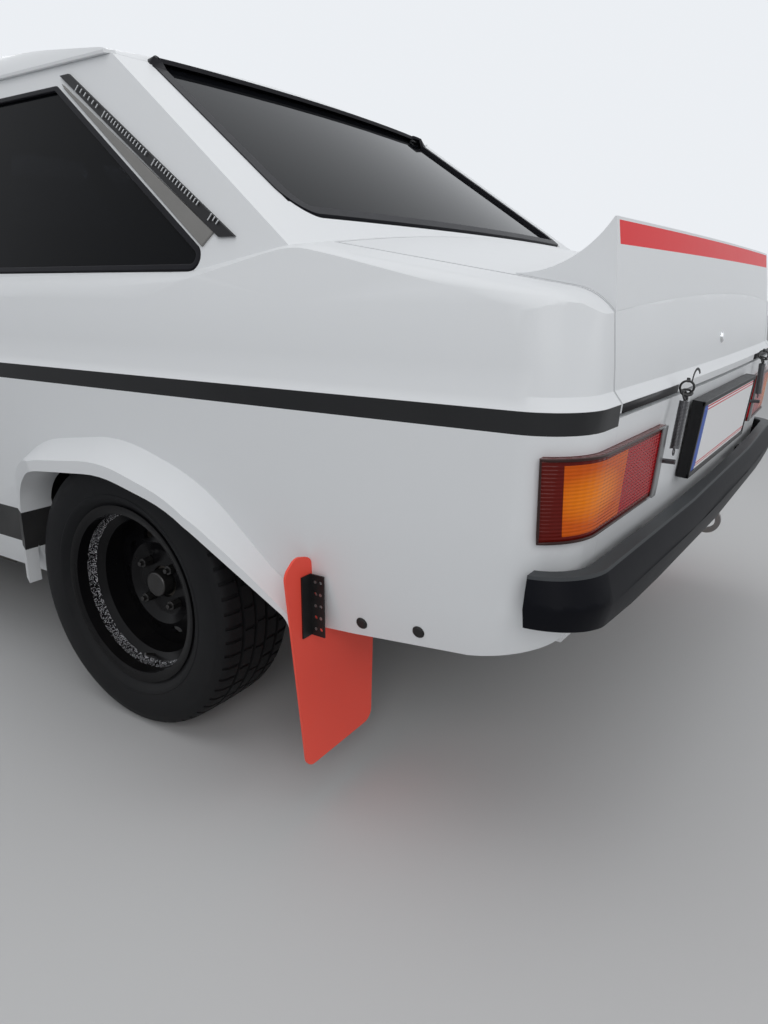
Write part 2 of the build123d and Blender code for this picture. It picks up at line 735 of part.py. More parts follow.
# Doors, each one panel with a framed window, hinged at its front edge
DOOR_SIDES = (("left", 1), ("right", -1))
door_panel = shell & across(DOOR, cabin_reach, side_reach, door_corner)
door_panel = door_panel - across(DOOR_WINDOW, cabin_reach, side_reach, window_corner)
glass_sheet = cabin_prism(glass_depth) - cabin_prism(glass_depth + glass_thickness)
door_glass = glass_sheet & across(DOOR_WINDOW, cabin_reach, side_reach, window_corner, -seam)
handle_x = waist_half_width - 30
mirror_x = waist_half_width + 22
mirror_y = door_front_y + 118
mirror_z = 930
for side_name, side in DOOR_SIDES:
    with BuildPart() as door:
        add(door_panel)
        add(block(handle_x, handle_x + 26, door_rear_y - 150, door_rear_y - 40, 772, 792))
        if side < 0:
            mirror(about=Plane.YZ, mode=Mode.REPLACE)
    export(door, f"door_{side_name}")
    with BuildPart() as door_window:
        add(door_glass)
        if side < 0:
            mirror(about=Plane.YZ, mode=Mode.REPLACE)
    export(door_window, f"door_window_{side_name}")
    with BuildPart() as door_mirror:
        with BuildSketch(Plane.XZ.offset(-mirror_y)):
            with Locations((side * mirror_x, mirror_z)):
                RectangleRounded(118, 86, 30)
        extrude(amount=62, taper=12)
        stalk_y = mirror_y - 14
        add(tube([(side * (mirror_x - 100), stalk_y, 842), (side * (mirror_x - 34), stalk_y, 900)], 8))
        add(door_panel if side > 0 else mirror(door_panel, about=Plane.YZ), mode=Mode.SUBTRACT)
    export(door_mirror, f"door_mirror_{side_name}")

# Fixed glass, set in from the outer faces
screen_sheet = crowned(UPPER_LINE, glass_depth) - crowned(UPPER_LINE, glass_depth + glass_thickness)
with BuildPart() as windscreen:
    add(screen_sheet)
    add(along(SCREEN, screen_front_y, screen_back_y, screen_corner, -seam), mode=Mode.INTERSECT)
    add(cabin_prism(), mode=Mode.INTERSECT)
export(windscreen, "windscreen")
with BuildPart() as rear_window:
    add(screen_sheet)
    add(along(BACKLIGHT, backlight_front_y, tail_y, backlight_corner, -seam), mode=Mode.INTERSECT)
export(rear_window, "rear_window")
with BuildPart() as quarter_windows:
    add(glass_sheet)
    add(across(QUARTER_WINDOW, cabin_reach, side_reach, window_corner, -seam), mode=Mode.INTERSECT)
    mirror(about=Plane.YZ)
export(quarter_windows, "quarter_windows")

# Louvred trim strip down the rear edge of each quarter window
VENT = [
    (rear_axle_y - 290, 1262),
    (rear_axle_y - 262, 1262),
    (rear_axle_y + 268, 938),
    (rear_axle_y + 232, 938),
]
vent_proud = 5
with BuildPart() as pillar_vents:
    add(cabin_prism(-vent_proud) - cabin_prism(-seat_gap))
    add(across(VENT, cabin_reach, side_reach), mode=Mode.INTERSECT)
    mirror(about=Plane.YZ)
export(pillar_vents, "pillar_vents")

# Full-width bumpers: height, inset of the face
BUMPER_ROWS = [(418, 12), (462, 0), (506, 14)]
bumper_half_width = waist_half_width + 12
bumper_bracket_x = 430
bumper_wall = 22
bumper_corner = 92
rear_bumper_bow = 20
front_bumper_bow = 30
# Space cut away under a bumper's end: X beyond the bumper's side, Z
BUMPER_RISE = [(-202, 380), (-202, 418.5), (-82, 426), (98, 446), (98, 380)]


def bumper(face_y, end_y, bow):
    """Blade bumper with a creased face and turned ends, at the rear of the car."""
    forms = []
    for inset in (0, bumper_wall):
        with BuildPart() as form:
            for height, row_inset in BUMPER_ROWS:
                back = face_y - row_inset - inset
                half = bumper_half_width - row_inset * 0.6 - inset
                with BuildSketch(Plane.XY.offset(height)) as row:
                    with BuildLine():
                        ThreePointArc((-half, back - bow), (0, back), (half, back - bow))
                        Polyline((half, back - bow), (half, end_y - 200), (-half, end_y - 200),
                                 (-half, back - bow))
                    make_face()
                    fillet(row.vertices().group_by(Axis.Y)[-1], bumper_corner - inset)
            loft(ruled=True)
        forms.append(form.part)
    blade = forms[0] - forms[1]
    for side in (1, -1):
        rise = [(side * (bumper_half_width + x), z) for x, z in BUMPER_RISE]
        blade = blade - along(rise, end_y - 100, face_y + 50)
    low_z, high_z = BUMPER_ROWS[0][0] - 1, BUMPER_ROWS[-1][0] + 1
    return blade & block(-side_reach, side_reach, end_y, face_y + 10, low_z, high_z)


bumper_clearance = body_tub(-seat_gap, -seat_gap)
rear_bumper_face = rear_axle_y + rear_overhang
bumper_end = rear_axle_y + 838
with BuildPart() as rear_bumper:
    add(bumper(rear_bumper_face, bumper_end, rear_bumper_bow))
    for bracket_x in (-bumper_bracket_x, bumper_bracket_x):
        add(block(bracket_x - 20, bracket_x + 20, tail_y - 38, rear_bumper_face - 15, 444, 480))
    add(bumper_clearance, mode=Mode.SUBTRACT)
export(rear_bumper, "rear_bumper")
front_bumper_face = overall_length / 2
with BuildPart() as front_bumper:
    add(mirror(bumper(front_bumper_face, front_bumper_face - 108, front_bumper_bow), about=Plane.XZ))
    for bracket_x in (-bumper_bracket_x, bumper_bracket_x):
        add(block(bracket_x - 20, bracket_x + 20, -front_bumper_face + 15, nose_y + 40, 444, 480))
    add(bumper_clearance, mode=Mode.SUBTRACT)
export(front_bumper, "front_bumper")

# Blank number plates on shallow holders
plate_width, plate_height = 532, 138
plate_lean = 6
plate_half_thickness = 9
PLATES = ((tail_y + 2, 607, -plate_lean), (-overall_length / 2 - plate_half_thickness - seat_gap, 462, 0))
with BuildPart() as number_plates:
    for plate_y, plate_z, lean in PLATES:
        facing = Vector(0, 1, 0).rotate(Axis.X, lean)
        with BuildSketch(Plane((0, plate_y, plate_z), x_dir=(1, 0, 0), z_dir=facing)):
            Rectangle(plate_width, plate_height)
        extrude(amount=plate_half_thickness, both=True)
export(number_plates, "number_plates")

# Rear mud flaps across the car behind the wheels, held to the quarter panels by perforated angles
flap_y = rear_axle_y + 466
flap_thickness = 4
flap_top_z = boot_floor_z - seat_gap
FLAP = [
    (flare_half_width - 64, 452),
    (flare_half_width - 26, 462),
    (flare_half_width + 1, 440),
    (flare_half_width - 40, 80),
    (flare_half_width - 228, 84),
    (flare_half_width - 240, flap_top_z),
    (flare_half_width - 64, flap_top_z),
]
with BuildPart() as mud_flap_left:
    add(along(FLAP, flap_y, flap_y + flap_thickness))
    add(body_side_left.part, mode=Mode.SUBTRACT)
with BuildPart() as mud_flaps:
    add(mud_flap_left.part)
    mirror(about=Plane.YZ)
export(mud_flaps, "mud_flaps")
bracket_y = flap_y + flap_thickness + seat_gap
angle_x = waist_half_width - 9.5
angle_low_z = 322
angle_wall = 2.5
ANGLE = [(0, 0), (24, 0), (24, angle_wall), (angle_wall, angle_wall), (angle_wall, 28), (0, 28)]
angle_holes = 5
with BuildPart() as flap_bracket_left:
    with BuildSketch(Plane.XY.offset(angle_low_z)):
        with BuildLine():
            Polyline(*[(angle_x + x, bracket_y + y) for x, y in ANGLE], close=True)
        make_face()
    extrude(amount=104)
    with BuildSketch(Plane.YZ.offset(angle_x - 10)):
        for hole in range(angle_holes):
            with Locations((bracket_y + 16 + 5 * (-1) ** hole, angle_low_z + 12 + hole * 20)):
                Circle(3.2)
    extrude(amount=20, mode=Mode.SUBTRACT)
with BuildPart() as flap_brackets:
    add(flap_bracket_left.part)
    mirror(about=Plane.YZ)
export(flap_brackets, "flap_brackets")

# Coil springs that hold the boot lid shut
spring_top = (388, tail_y + 12, 684)
spring_low = (415, tail_y + 10, 602)
spring_radius = 8
with BuildPart() as boot_springs:
    add(tube([spring_top, spring_low], spring_radius))
    add(block(spring_low[0] - 5, spring_low[0] + 5, tail_y - 30, tail_y + 8, 586, 600))
    add(bumper_clearance, mode=Mode.SUBTRACT)
    mirror(about=Plane.YZ)
export(boot_springs, "boot_springs")

# Wheels: X from the wheel's middle, radius
RIM = [
    (-84, 182), (-79, 182), (-77, 170), (-42, 166), (-32, 147), (24, 147), (38, 166), (77, 170), (79, 182),
    (84, 182), (84, 176), (80, 164), (42, 160), (28, 141), (-16, 141), (-8, 118), (4, 88), (-8, 66), (-8, 34),
    (-18, 34), (-18, 72), (-6, 92), (-18, 118), (-28, 141), (-36, 141), (-46, 160), (-80, 164), (-84, 176),
]
lug_count = 4
lug_circle = 54
rim_slots = 10
slot_circle = 104
WHEELS = (
    ("front_left", 1, front_axle_y),
    ("front_right", -1, front_axle_y),
    ("rear_left", 1, rear_axle_y),
    ("rear_right", -1, rear_axle_y),
)
with BuildPart() as rim_blank:
    with BuildSketch(Plane.XY):
        with BuildLine():
            Polyline(*RIM, close=True)
        make_face()
    revolve(axis=Axis.X)
    with BuildSketch(Plane.YZ.offset(-60)):
        with PolarLocations(slot_circle, rim_slots):
            SlotOverall(30, 17, rotation=90)
    extrude(amount=80, mode=Mode.SUBTRACT)
    with BuildSketch(Plane.YZ.offset(-9)):
        with PolarLocations(lug_circle, lug_count, 45):
            RegularPolygon(10, 6)
    extrude(amount=14)
with BuildPart() as tyre_blank:
    with BuildSketch(Plane.XY):
        with BuildLine() as half:
            tread = Line((0, tyre_radius), (70, tyre_radius - 2))
            shoulder = ThreePointArc(tread @ 1, (84, tyre_radius - 8), (tyre_width / 2 - 2, tyre_radius - 24))
            wall = ThreePointArc(shoulder @ 1, (tyre_width / 2, 228), (88, 196))
            Polyline(wall @ 1, (78.5, 182.6), (76.8, 171.6), (54, 171.6), (54, 186), (74, 206))
            inner = ThreePointArc((74, 206), (84, 230), (72, 258))
            Line(inner @ 1, (0, tyre_radius - 12))
            mirror(about=Plane.YZ)
        make_face()
    revolve(axis=Axis.X)
for wheel_name, side, axle_y in WHEELS:
    place = Pos(side * wheel_centre_x, axle_y, tyre_radius)
    turn = Rot(0, 0, 0 if side > 0 else 180)
    with BuildPart() as rim:
        add(place * turn * rim_blank.part)
    export(rim, f"rim_{wheel_name}")
    with BuildPart() as tyre:
        add(place * turn * tyre_blank.part)
    export(tyre, f"tyre_{wheel_name}")

# Front knuckles with strut, spring and brake disc, turning on the strut's line
hub_face_x = wheel_centre_x - 18
foot_z = 168
disc_radius = 118
# Strut, spring seat and spring: low and high end, radius
STRUT = ((foot_z + 25, 744, 25), (586, 592, 52), (596, 738, 44))
strut_lean = (steer_top_x - steer_foot_x) / (tower_top_z - 24 - foot_z)


def strut_x(z):
    """Place of the strut's line at a height."""
    return steer_foot_x + strut_lean * (z - foot_z)


for side_name, side in DOOR_SIDES:
    with BuildPart() as knuckle:
        add(roller(hub_face_x - 76, hub_face_x - seat_gap, front_axle_y, tyre_radius, 46))
        add(roller(hub_face_x - 44, hub_face_x - 32, front_axle_y, tyre_radius, disc_radius))
        for low_z, high_z, radius in STRUT:
            add(tube([(strut_x(low_z), front_axle_y, low_z), (strut_x(high_z), front_axle_y, high_z)], radius))
        if side < 0:
            mirror(about=Plane.YZ, mode=Mode.REPLACE)
    export(knuckle, f"knuckle_{side_name}")

sway_bar_x = 410
sway_bar_y = front_axle_y - 250
sway_bar_radius = 11
with BuildPart() as front_suspension:
    add(block(-440, 440, front_axle_y - 35, front_axle_y + 35, 176, crossmember_top_z))
    for side in (1, -1):
        add(tube([(side * 400, front_axle_y, 190), (side * strut_x(foot_z), front_axle_y, foot_z)], 17))
        bar_end = (side * (strut_x(foot_z) - 30), front_axle_y - 10, foot_z + 2)
        add(tube([(side * sway_bar_x, sway_bar_y, 210), bar_end], sway_bar_radius))
    add(tube([(-sway_bar_x, sway_bar_y, 210), (sway_bar_x, sway_bar_y, 210)], sway_bar_radius))
export(front_suspension, "front_suspension")

# Live rear axle with its housing, drums and leaf springs
drum_radius = 116
diff_radius = 112
leaf_width, leaf_stack = 52, 26
leaf_front_y, leaf_rear_y = rear_axle_y - 440, rear_axle_y + 560
LEAF = [(leaf_front_y, tyre_radius), (rear_axle_y, tyre_radius - 68), (leaf_rear_y, tyre_radius + 54)]
with BuildPart() as rear_axle:
    add(roller(-hub_face_x + seat_gap, hub_face_x - seat_gap, rear_axle_y, tyre_radius, 36))
    with BuildSketch(Plane.XY.offset(tyre_radius)):
        with BuildLine():
            Polyline((-150, rear_axle_y), (-150, rear_axle_y + 40), (-60, rear_axle_y + diff_radius),
                     (60, rear_axle_y + diff_radius), (150, rear_axle_y + 40), (150, rear_axle_y), close=True)
        make_face()
    revolve(axis=Axis((0, rear_axle_y, tyre_radius), (1, 0, 0)))
    for side in (1, -1):
        drum = sorted((side * (hub_face_x - 74), side * (hub_face_x - 22)))
        add(roller(*drum, rear_axle_y, tyre_radius, drum_radius))
    for leaf_x in (-430, 430):
        with BuildSketch(Plane.YZ.offset(leaf_x - leaf_width / 2)):
            with BuildLine():
                low = ThreePointArc(*LEAF)
                high = ThreePointArc(*[(y, z + leaf_stack) for y, z in LEAF])
                Line(low @ 0, high @ 0)
                Line(low @ 1, high @ 1)
            make_face()
        extrude(amount=leaf_width)
        add(block(leaf_x - 34, leaf_x + 34, rear_axle_y - 40, rear_axle_y + 40, tyre_radius - 76, tyre_radius))
        for hanger_y in (leaf_front_y, leaf_rear_y - 24):
            add(block(leaf_x - 16, leaf_x + 16, hanger_y, hanger_y + 24, tyre_radius + 14,
                      boot_floor_z - seat_gap))
export(rear_axle, "rear_axle")

gearbox_front_y = front_axle_y + 330
gearbox_rear_y = bulkhead_y + 380
with BuildPart() as engine_block:
    add(block(-190, 190, front_axle_y - 190, gearbox_front_y - seat_gap, crossmember_top_z + seat_gap, 760))
export(engine_block, "engine_block")
with BuildPart() as propshaft:
    add(block(-95, 95, gearbox_front_y, gearbox_rear_y, 236, tunnel_top_z - tunnel_wall - seat_gap))
    with BuildSketch(Plane.XZ.offset(-gearbox_rear_y)):
        with Locations((0, tyre_radius + 20)):
            Circle(32)
    extrude(amount=-(rear_axle_y - diff_radius - 4 - seat_gap - gearbox_rear_y))
export(propshaft, "propshaft")

# Exhaust pipe, led over the axle to the tail
exhaust_x = 250
exhaust_radius = 23
exhaust_z = floor_z - floor_thickness - seat_gap - exhaust_radius
EXHAUST = [
    (bulkhead_y - 60, exhaust_z),
    (rear_axle_y - 400, exhaust_z),
    (rear_axle_y - 150, tyre_radius + 74),
    (rear_axle_y + 190, tyre_radius + 74),
    (rear_axle_y + 400, 300),
    (tail_y + 8, 300),
]
with BuildPart() as exhaust:
    add(tube([(exhaust_x, y, z) for y, z in EXHAUST], exhaust_radius, 60))
export(exhaust, "exhaust")

# Bucket seats
seat_x = 345
seat_half = 205
seat_y = door_rear_y - 522
SEAT_SIDE = [(-70, 262), (380, 262), (420, 330), (600, 1000), (470, 1000), (250, 560), (-70, 470)]
SEAT_HOLLOW = [(-90, 380), (270, 350), (360, 430), (520, 1020), (430, 1020), (200, 640), (-90, 640)]
with BuildPart() as seats:
    for side in (1, -1):
        low_x, high_x = side * seat_x - seat_half, side * seat_x + seat_half
        add(across([(seat_y + y, z) for y, z in SEAT_SIDE], low_x, high_x))
        add(across([(seat_y + y, z) for y, z in SEAT_HOLLOW], low_x + 45, high_x - 45), mode=Mode.SUBTRACT)
        add(block(low_x + 50, high_x - 50, seat_y, seat_y + 330, floor_z + seat_gap, 262))
export(seats, "seats")

# Dashboard across the cabin
dash_front_y = bulkhead_y + bulkhead_wall + seat_gap
DASH = [
    (dash_front_y, 690),
    (bulkhead_y + 340, 690),
    (bulkhead_y + 380, 720),
    (bulkhead_y + 350, 845),
    (dash_front_y, 850),
]
dash_half = waist_half_width - 200
with BuildPart() as dashboard:
    add(across(DASH, -dash_half, dash_half))
export(dashboard, "dashboard")
wheel_tilt = 24
wheel_rim_radius = 172
steering_centre = (340, bulkhead_y + 590, 800)
tilt_cos, tilt_sin = cos(radians(wheel_tilt)), sin(radians(wheel_tilt))
column = Plane(origin=steering_centre, x_dir=(1, 0, 0), z_dir=(0, tilt_cos, tilt_sin))
across_column = Plane(origin=steering_centre, x_dir=(1, 0, 0), z_dir=(0, tilt_sin, -tilt_cos))
with BuildPart() as steering_wheel:
    with BuildSketch(across_column):
        with Locations((wheel_rim_radius, 0)):
            Circle(13)
    revolve(axis=Axis(steering_centre, column.z_dir))
    with BuildSketch(column):
        for spoke in (90, 210, 330):
            with Locations(Rotation(0, 0, spoke)):
                with Locations((wheel_rim_radius / 2, 0)):
                    Rectangle(wheel_rim_radius, 26)
        Circle(38)
    extrude(amount=5)
    with BuildSketch(column):
        Circle(18)
    extrude(amount=-240)
    add(dashboard.part, mode=Mode.SUBTRACT)
export(steering_wheel, "steering_wheel")

# Roll cage: main hoop, front legs with their roof bars, screen bar and rear stays
cage_radius = 20
stay_radius = 18
cage_bend = 70
cage_y = door_rear_y + 12
cage_foot = floor_z + seat_gap
cage_top_z = 1292
cage_top_x = cabin_head[0] - 69
stay_foot_z = boot_floor_z + floor_thickness + seat_gap
cage_front_y = door_front_y + 60
screen_bar_y = front_axle_y + 1170
cage_side_x = waist_half_width - 172
screen_bar_z = cage_top_z - 8
with BuildPart() as roll_cage:
    hoop = [(cage_side_x, cage_foot), (cage_side_x, 800), (cage_top_x, cage_top_z)]
    hoop = hoop + [(-x, z) for x, z in reversed(hoop)]
    add(tube([(x, cage_y, z) for x, z in hoop], cage_radius, cage_bend))
    for side in (1, -1):
        add(tube([(side * cage_side_x, cage_front_y, cage_foot), (side * cage_side_x, cage_front_y, 860),
                  (side * (cage_top_x - 20), screen_bar_y, screen_bar_z),
                  (side * (cage_top_x - 50), cage_y + 6, cage_top_z)], stay_radius, cage_bend))
        add(tube([(side * 400, cage_y - 6, cage_top_z), (side * 400, shelf_y - 60, stay_foot_z)], stay_radius))
    bar_end = (cage_top_x - 26, screen_bar_y + 10, screen_bar_z)
    add(tube([(-bar_end[0], bar_end[1], bar_end[2]), bar_end], stay_radius - 2))
    add(floor_pan.part, mode=Mode.SUBTRACT)
export(roll_cage, "roll_cage")

# Tow eyes under the nose and the tail: X, Y and Z of the ring, and Y of the mounting plate's two ends
eye_wall = 10
eye_hole = 20
EYES = (
    (300, nose_y + 8, 322, nose_y + 10, nose_y + 110),
    (-205, tail_y - 34, 340, tail_y - 110, tail_y - 30),
)
with BuildPart() as tow_eyes:
    for eye_x, ring_y, ring_z, plate_front_y, plate_back_y in EYES:
        with BuildSketch(Plane.YZ.offset(eye_x)):
            with Locations((ring_y, ring_z)):
                Circle(eye_hole + 12)
            with Locations(((plate_front_y + plate_back_y) / 2, ring_z + 24)):
                Rectangle(plate_back_y - plate_front_y, 50)
            with Locations((ring_y, ring_z)):
                Circle(eye_hole, mode=Mode.SUBTRACT)
        extrude(amount=eye_wall)
    add(front_panel.part, mode=Mode.SUBTRACT)
    add(rear_panel.part, mode=Mode.SUBTRACT)
    add(floor_pan.part, mode=Mode.SUBTRACT)
export(tow_eyes, "tow_eyes")
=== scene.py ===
from contextlib import contextmanager
import math

import bpy
from mathutils import Matrix, Vector


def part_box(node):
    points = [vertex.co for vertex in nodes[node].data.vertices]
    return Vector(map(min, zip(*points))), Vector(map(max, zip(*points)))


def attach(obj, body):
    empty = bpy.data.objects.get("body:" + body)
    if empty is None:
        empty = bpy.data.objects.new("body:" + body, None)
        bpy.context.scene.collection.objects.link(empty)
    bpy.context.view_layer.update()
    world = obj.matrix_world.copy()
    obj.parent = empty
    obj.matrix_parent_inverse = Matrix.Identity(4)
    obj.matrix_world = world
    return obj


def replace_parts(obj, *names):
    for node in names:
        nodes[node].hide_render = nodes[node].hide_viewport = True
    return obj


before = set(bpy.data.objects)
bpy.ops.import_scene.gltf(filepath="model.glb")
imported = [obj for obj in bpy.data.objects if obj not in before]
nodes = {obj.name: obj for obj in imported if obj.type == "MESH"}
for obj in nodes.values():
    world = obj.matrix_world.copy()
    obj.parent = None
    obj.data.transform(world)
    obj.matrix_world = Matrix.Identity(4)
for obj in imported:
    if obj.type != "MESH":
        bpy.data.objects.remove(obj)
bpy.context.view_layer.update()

# The camera stands behind the car's left rear corner, at a standing person's chest height, looking
# slightly down at the quarter panel. Its lens is that of a phone's main camera held upright.
camera_place = Vector((1.6563, 2.2389, 0.8573))
camera_yaw = math.radians(33.6078)
camera_pitch = math.radians(16.2982)
camera_roll = math.radians(-0.2677)
camera_focal_pixels = 762.23
picture_height = 1024
sensor_long_side = 36

level = Vector((-math.cos(camera_yaw), -math.sin(camera_yaw), 0))
sideways = Vector((-math.sin(camera_yaw), math.cos(camera_yaw), 0))
upright = Vector((0, 0, 1))
ahead = level * math.cos(camera_pitch) - upright * math.sin(camera_pitch)
down = -upright * math.cos(camera_pitch) - level * math.sin(camera_pitch)
camera_right = sideways * math.cos(camera_roll) + down * math.sin(camera_roll)
camera_down = down * math.cos(camera_roll) - sideways * math.sin(camera_roll)
camera_axes = Matrix((camera_right, -camera_down, -ahead)).transposed().to_4x4()

bpy.ops.object.select_all(action="DESELECT")
bpy.ops.object.camera_add()
camera = bpy.context.object
camera.data.sensor_width = sensor_long_side
camera.data.lens = camera_focal_pixels / picture_height * sensor_long_side
camera.matrix_world = Matrix.Translation(camera_place) @ camera_axes
bpy.context.scene.camera = camera
bpy.context.scene.view_settings.view_transform = "Standard"

# A plain studio round the car: a pale floor that keeps the shadow, a white surround, and broad soft
# lamps overhead, behind the camera and ahead of the car.
floor_size, floor_tone, floor_roughness = 60, 0.56, 0.75
surround_tint, surround_light, surround_shown = (0.93, 0.96, 1.0, 1), 0.4, 0.9


def joined(tree, node_type, links, **settings):
    """New node with its settings, its inputs linked or set by number or by name."""
    node = tree.nodes.new(node_type)
    for key, value in settings.items():
        setattr(node, key, value)
    for socket, value in links.items():
        if isinstance(value, bpy.types.NodeSocket):
            tree.links.new(value, node.inputs[socket])
        else:
            node.inputs[socket].default_value = value
    return node


def maths(tree, operation, *values):
    """One sum on sockets or numbers."""
    return joined(tree, "ShaderNodeMath", dict(enumerate(values)), operation=operation).outputs[0]


bpy.ops.mesh.primitive_plane_add(size=floor_size)
floor = bpy.context.object
floor.name = "studio_floor"
floor_paint = bpy.data.materials.new("studio_floor")
floor_paint.use_nodes = True
floor_shader = floor_paint.node_tree.nodes["Principled BSDF"]
floor_shader.inputs["Roughness"].default_value = floor_roughness
floor_shader.inputs["Base Color"].default_value = (floor_tone, floor_tone, floor_tone, 1)
floor.data.materials.append(floor_paint)

world = bpy.data.worlds.new("studio")
bpy.context.scene.world = world
world.use_nodes = True
sky = world.node_tree.nodes["Background"]
sky.inputs["Color"].default_value = surround_tint
rays = joined(world.node_tree, "ShaderNodeLightPath", {}).outputs
seen = maths(world.node_tree, "MAXIMUM", rays["Is Camera Ray"], rays["Is Transmission Ray"])
seen_or_mirrored = maths(world.node_tree, "MAXIMUM", seen, rays["Is Glossy Ray"])
strength = joined(world.node_tree, "ShaderNodeMapRange",
                  {"Value": seen_or_mirrored, "To Min": surround_light, "To Max": surround_shown})
world.node_tree.links.new(strength.outputs["Result"], sky.inputs["Strength"])

STUDIO_LAMPS = (
    # name, place, aim, width, depth, watts
    ("overhead", (0.4, 0.6, 4.2), (0, 0.2, 0.5), 4.0, 5.0, 62),
    ("rear_left", (3.6, 3.8, 2.6), (0.4, 1.2, 0.6), 2.4, 2.0, 46),
    ("tail", (-1.8, 5.2, 2.2), (0, 1.8, 0.6), 2.2, 1.8, 32),
    ("nose", (-2.6, -5.0, 3.0), (0, -1.0, 0.6), 3.0, 2.4, 60),
)
for lamp_name, lamp_place, lamp_aim, lamp_width, lamp_depth, lamp_watts in STUDIO_LAMPS:
    bpy.ops.object.light_add(type="AREA", location=lamp_place)
    lamp = bpy.context.object
    lamp.name = "lamp_" + lamp_name
    lamp.data.shape = "RECTANGLE"
    lamp.data.size = lamp_width
    lamp.data.size_y = lamp_depth
    lamp.data.energy = lamp_watts
    lamp.rotation_mode = "QUATERNION"
    lamp.rotation_quaternion = (Vector(lamp_aim) - Vector(lamp_place)).to_track_quat("-Z", "Y")

# The painted body: pressed steel panels, sprayed satin white over filler and primer, with a black
# band along the crease at the waist and a black lower side above the sill. Each panel is a smoothed
# copy of its CAD skin, because paint flows round the shoulders and arches without a facet.
front_axle_y, rear_axle_y = -1.3595, 1.0475
# heights of a band, and how far from the car's middle it starts
waist_low, waist_top, waist_from = 0.683, 0.7125, 0.6445
sill_low, sill_top, sill_from = 0.316, 0.4, 0.6
# each drip rail's end face is drawn in to the roof's rear end, and its outer corner further
rail_end_y, rail_drawn_y, rail_inner_x, rail_outer_x = 0.93, 0.90, 0.575, 0.59
rail_shortened, rail_corner_cut = 0.0275, 0.014
dust_color, dust_above, dust_full_at, dust_on_tops = (0.36, 0.33, 0.29), 0.55, 0.12, 0.35
COLOUR, NUMBER = "NodeSocketColor", "NodeSocketFloat"


def shader_group(name, inputs, outputs):
    """New node group with the given sockets, and the sockets inside it."""
    tree = bpy.data.node_groups.new(name, "ShaderNodeTree")
    for socket, kind, value in inputs:
        tree.interface.new_socket(socket, in_out="INPUT", socket_type=kind).default_value = value
    for socket, kind in outputs:
        tree.interface.new_socket(socket, in_out="OUTPUT", socket_type=kind)
    return tree, tree.nodes.new("NodeGroupInput").outputs, tree.nodes.new("NodeGroupOutput").inputs


def times(tree, product, *others):
    """Product of sockets or numbers."""
    for other in others:
        product = maths(tree, "MULTIPLY", product, other)
    return product


def blended(tree, share, first, second):
    """Colour between two, by a share."""
    node = joined(tree, "ShaderNodeMix", {0: share}, data_type="RGBA")
    for socket, value in ((6, first), (7, second)):
        if isinstance(value, bpy.types.NodeSocket):
            tree.links.new(value, node.inputs[socket])
        else:
            node.inputs[socket].default_value = (*value, 1) if len(value) == 3 else value
    return node.outputs[2]


def shaded_place(tree, kind="Object"):
    """The place being shaded, or with "Normal" the way it faces."""
    return joined(tree, "ShaderNodeTexCoord", {}).outputs[kind]


def axes(tree, kind="Object"):
    """X, Y and Z of the place being shaded, or of the way it faces."""
    return joined(tree, "ShaderNodeSeparateXYZ", {0: shaded_place(tree, kind)}).outputs


def noise(tree, scale, detail, roughness=0.5):
    """Cloudy pattern fixed to the piece."""
    return joined(tree, "ShaderNodeTexNoise", {"Vector": shaded_place(tree), "Scale": scale, "Detail": detail,
                                               "Roughness": roughness}).outputs["Fac"]


surface_tree, given, gives = shader_group("surface_life", (
    ("Color", COLOUR, (0.8, 0.8, 0.8, 1)), ("Second Color", COLOUR, (0.7, 0.7, 0.7, 1)), ("Patches", NUMBER, 2.5),
    ("Patch Share", NUMBER, 0.3), ("Grain", NUMBER, 600.0), ("Roughness", NUMBER, 0.4),
    ("Roughness Spread", NUMBER, 0.1), ("Dust", NUMBER, 0.1),
), (("Color", COLOUR), ("Roughness", NUMBER), ("Height", NUMBER)))
patch_share = times(surface_tree, noise(surface_tree, given["Patches"], 5.0), given["Patch Share"])
toned = blended(surface_tree, patch_share, given["Color"], given["Second Color"])
specks = noise(surface_tree, 34.0, 8.0, 0.7)
upward = maths(surface_tree, "MAXIMUM", axes(surface_tree, "Normal")["Z"], 0.0)
near_road = joined(surface_tree, "ShaderNodeMapRange",
                   {"Value": axes(surface_tree)["Z"], 1: dust_above, 2: dust_full_at, 3: 0.0, 4: 1.0}).outputs[0]
lying = maths(surface_tree, "ADD", times(surface_tree, upward, dust_on_tops), near_road)
dust_share = times(surface_tree, lying, specks, given["Dust"])
spread_share = times(surface_tree, maths(surface_tree, "SUBTRACT", specks, 0.5), given["Roughness Spread"])
dull = maths(surface_tree, "ADD", given["Roughness"], spread_share)
dull = maths(surface_tree, "ADD", dull, times(surface_tree, dust_share, 0.5))
surface_tree.links.new(blended(surface_tree, dust_share, toned, dust_color), gives["Color"])
surface_tree.links.new(dull, gives["Roughness"])
surface_tree.links.new(noise(surface_tree, given["Grain"], 2.0), gives["Height"])


relief_depth, patch_share_under_zones = 0.001, 0.06


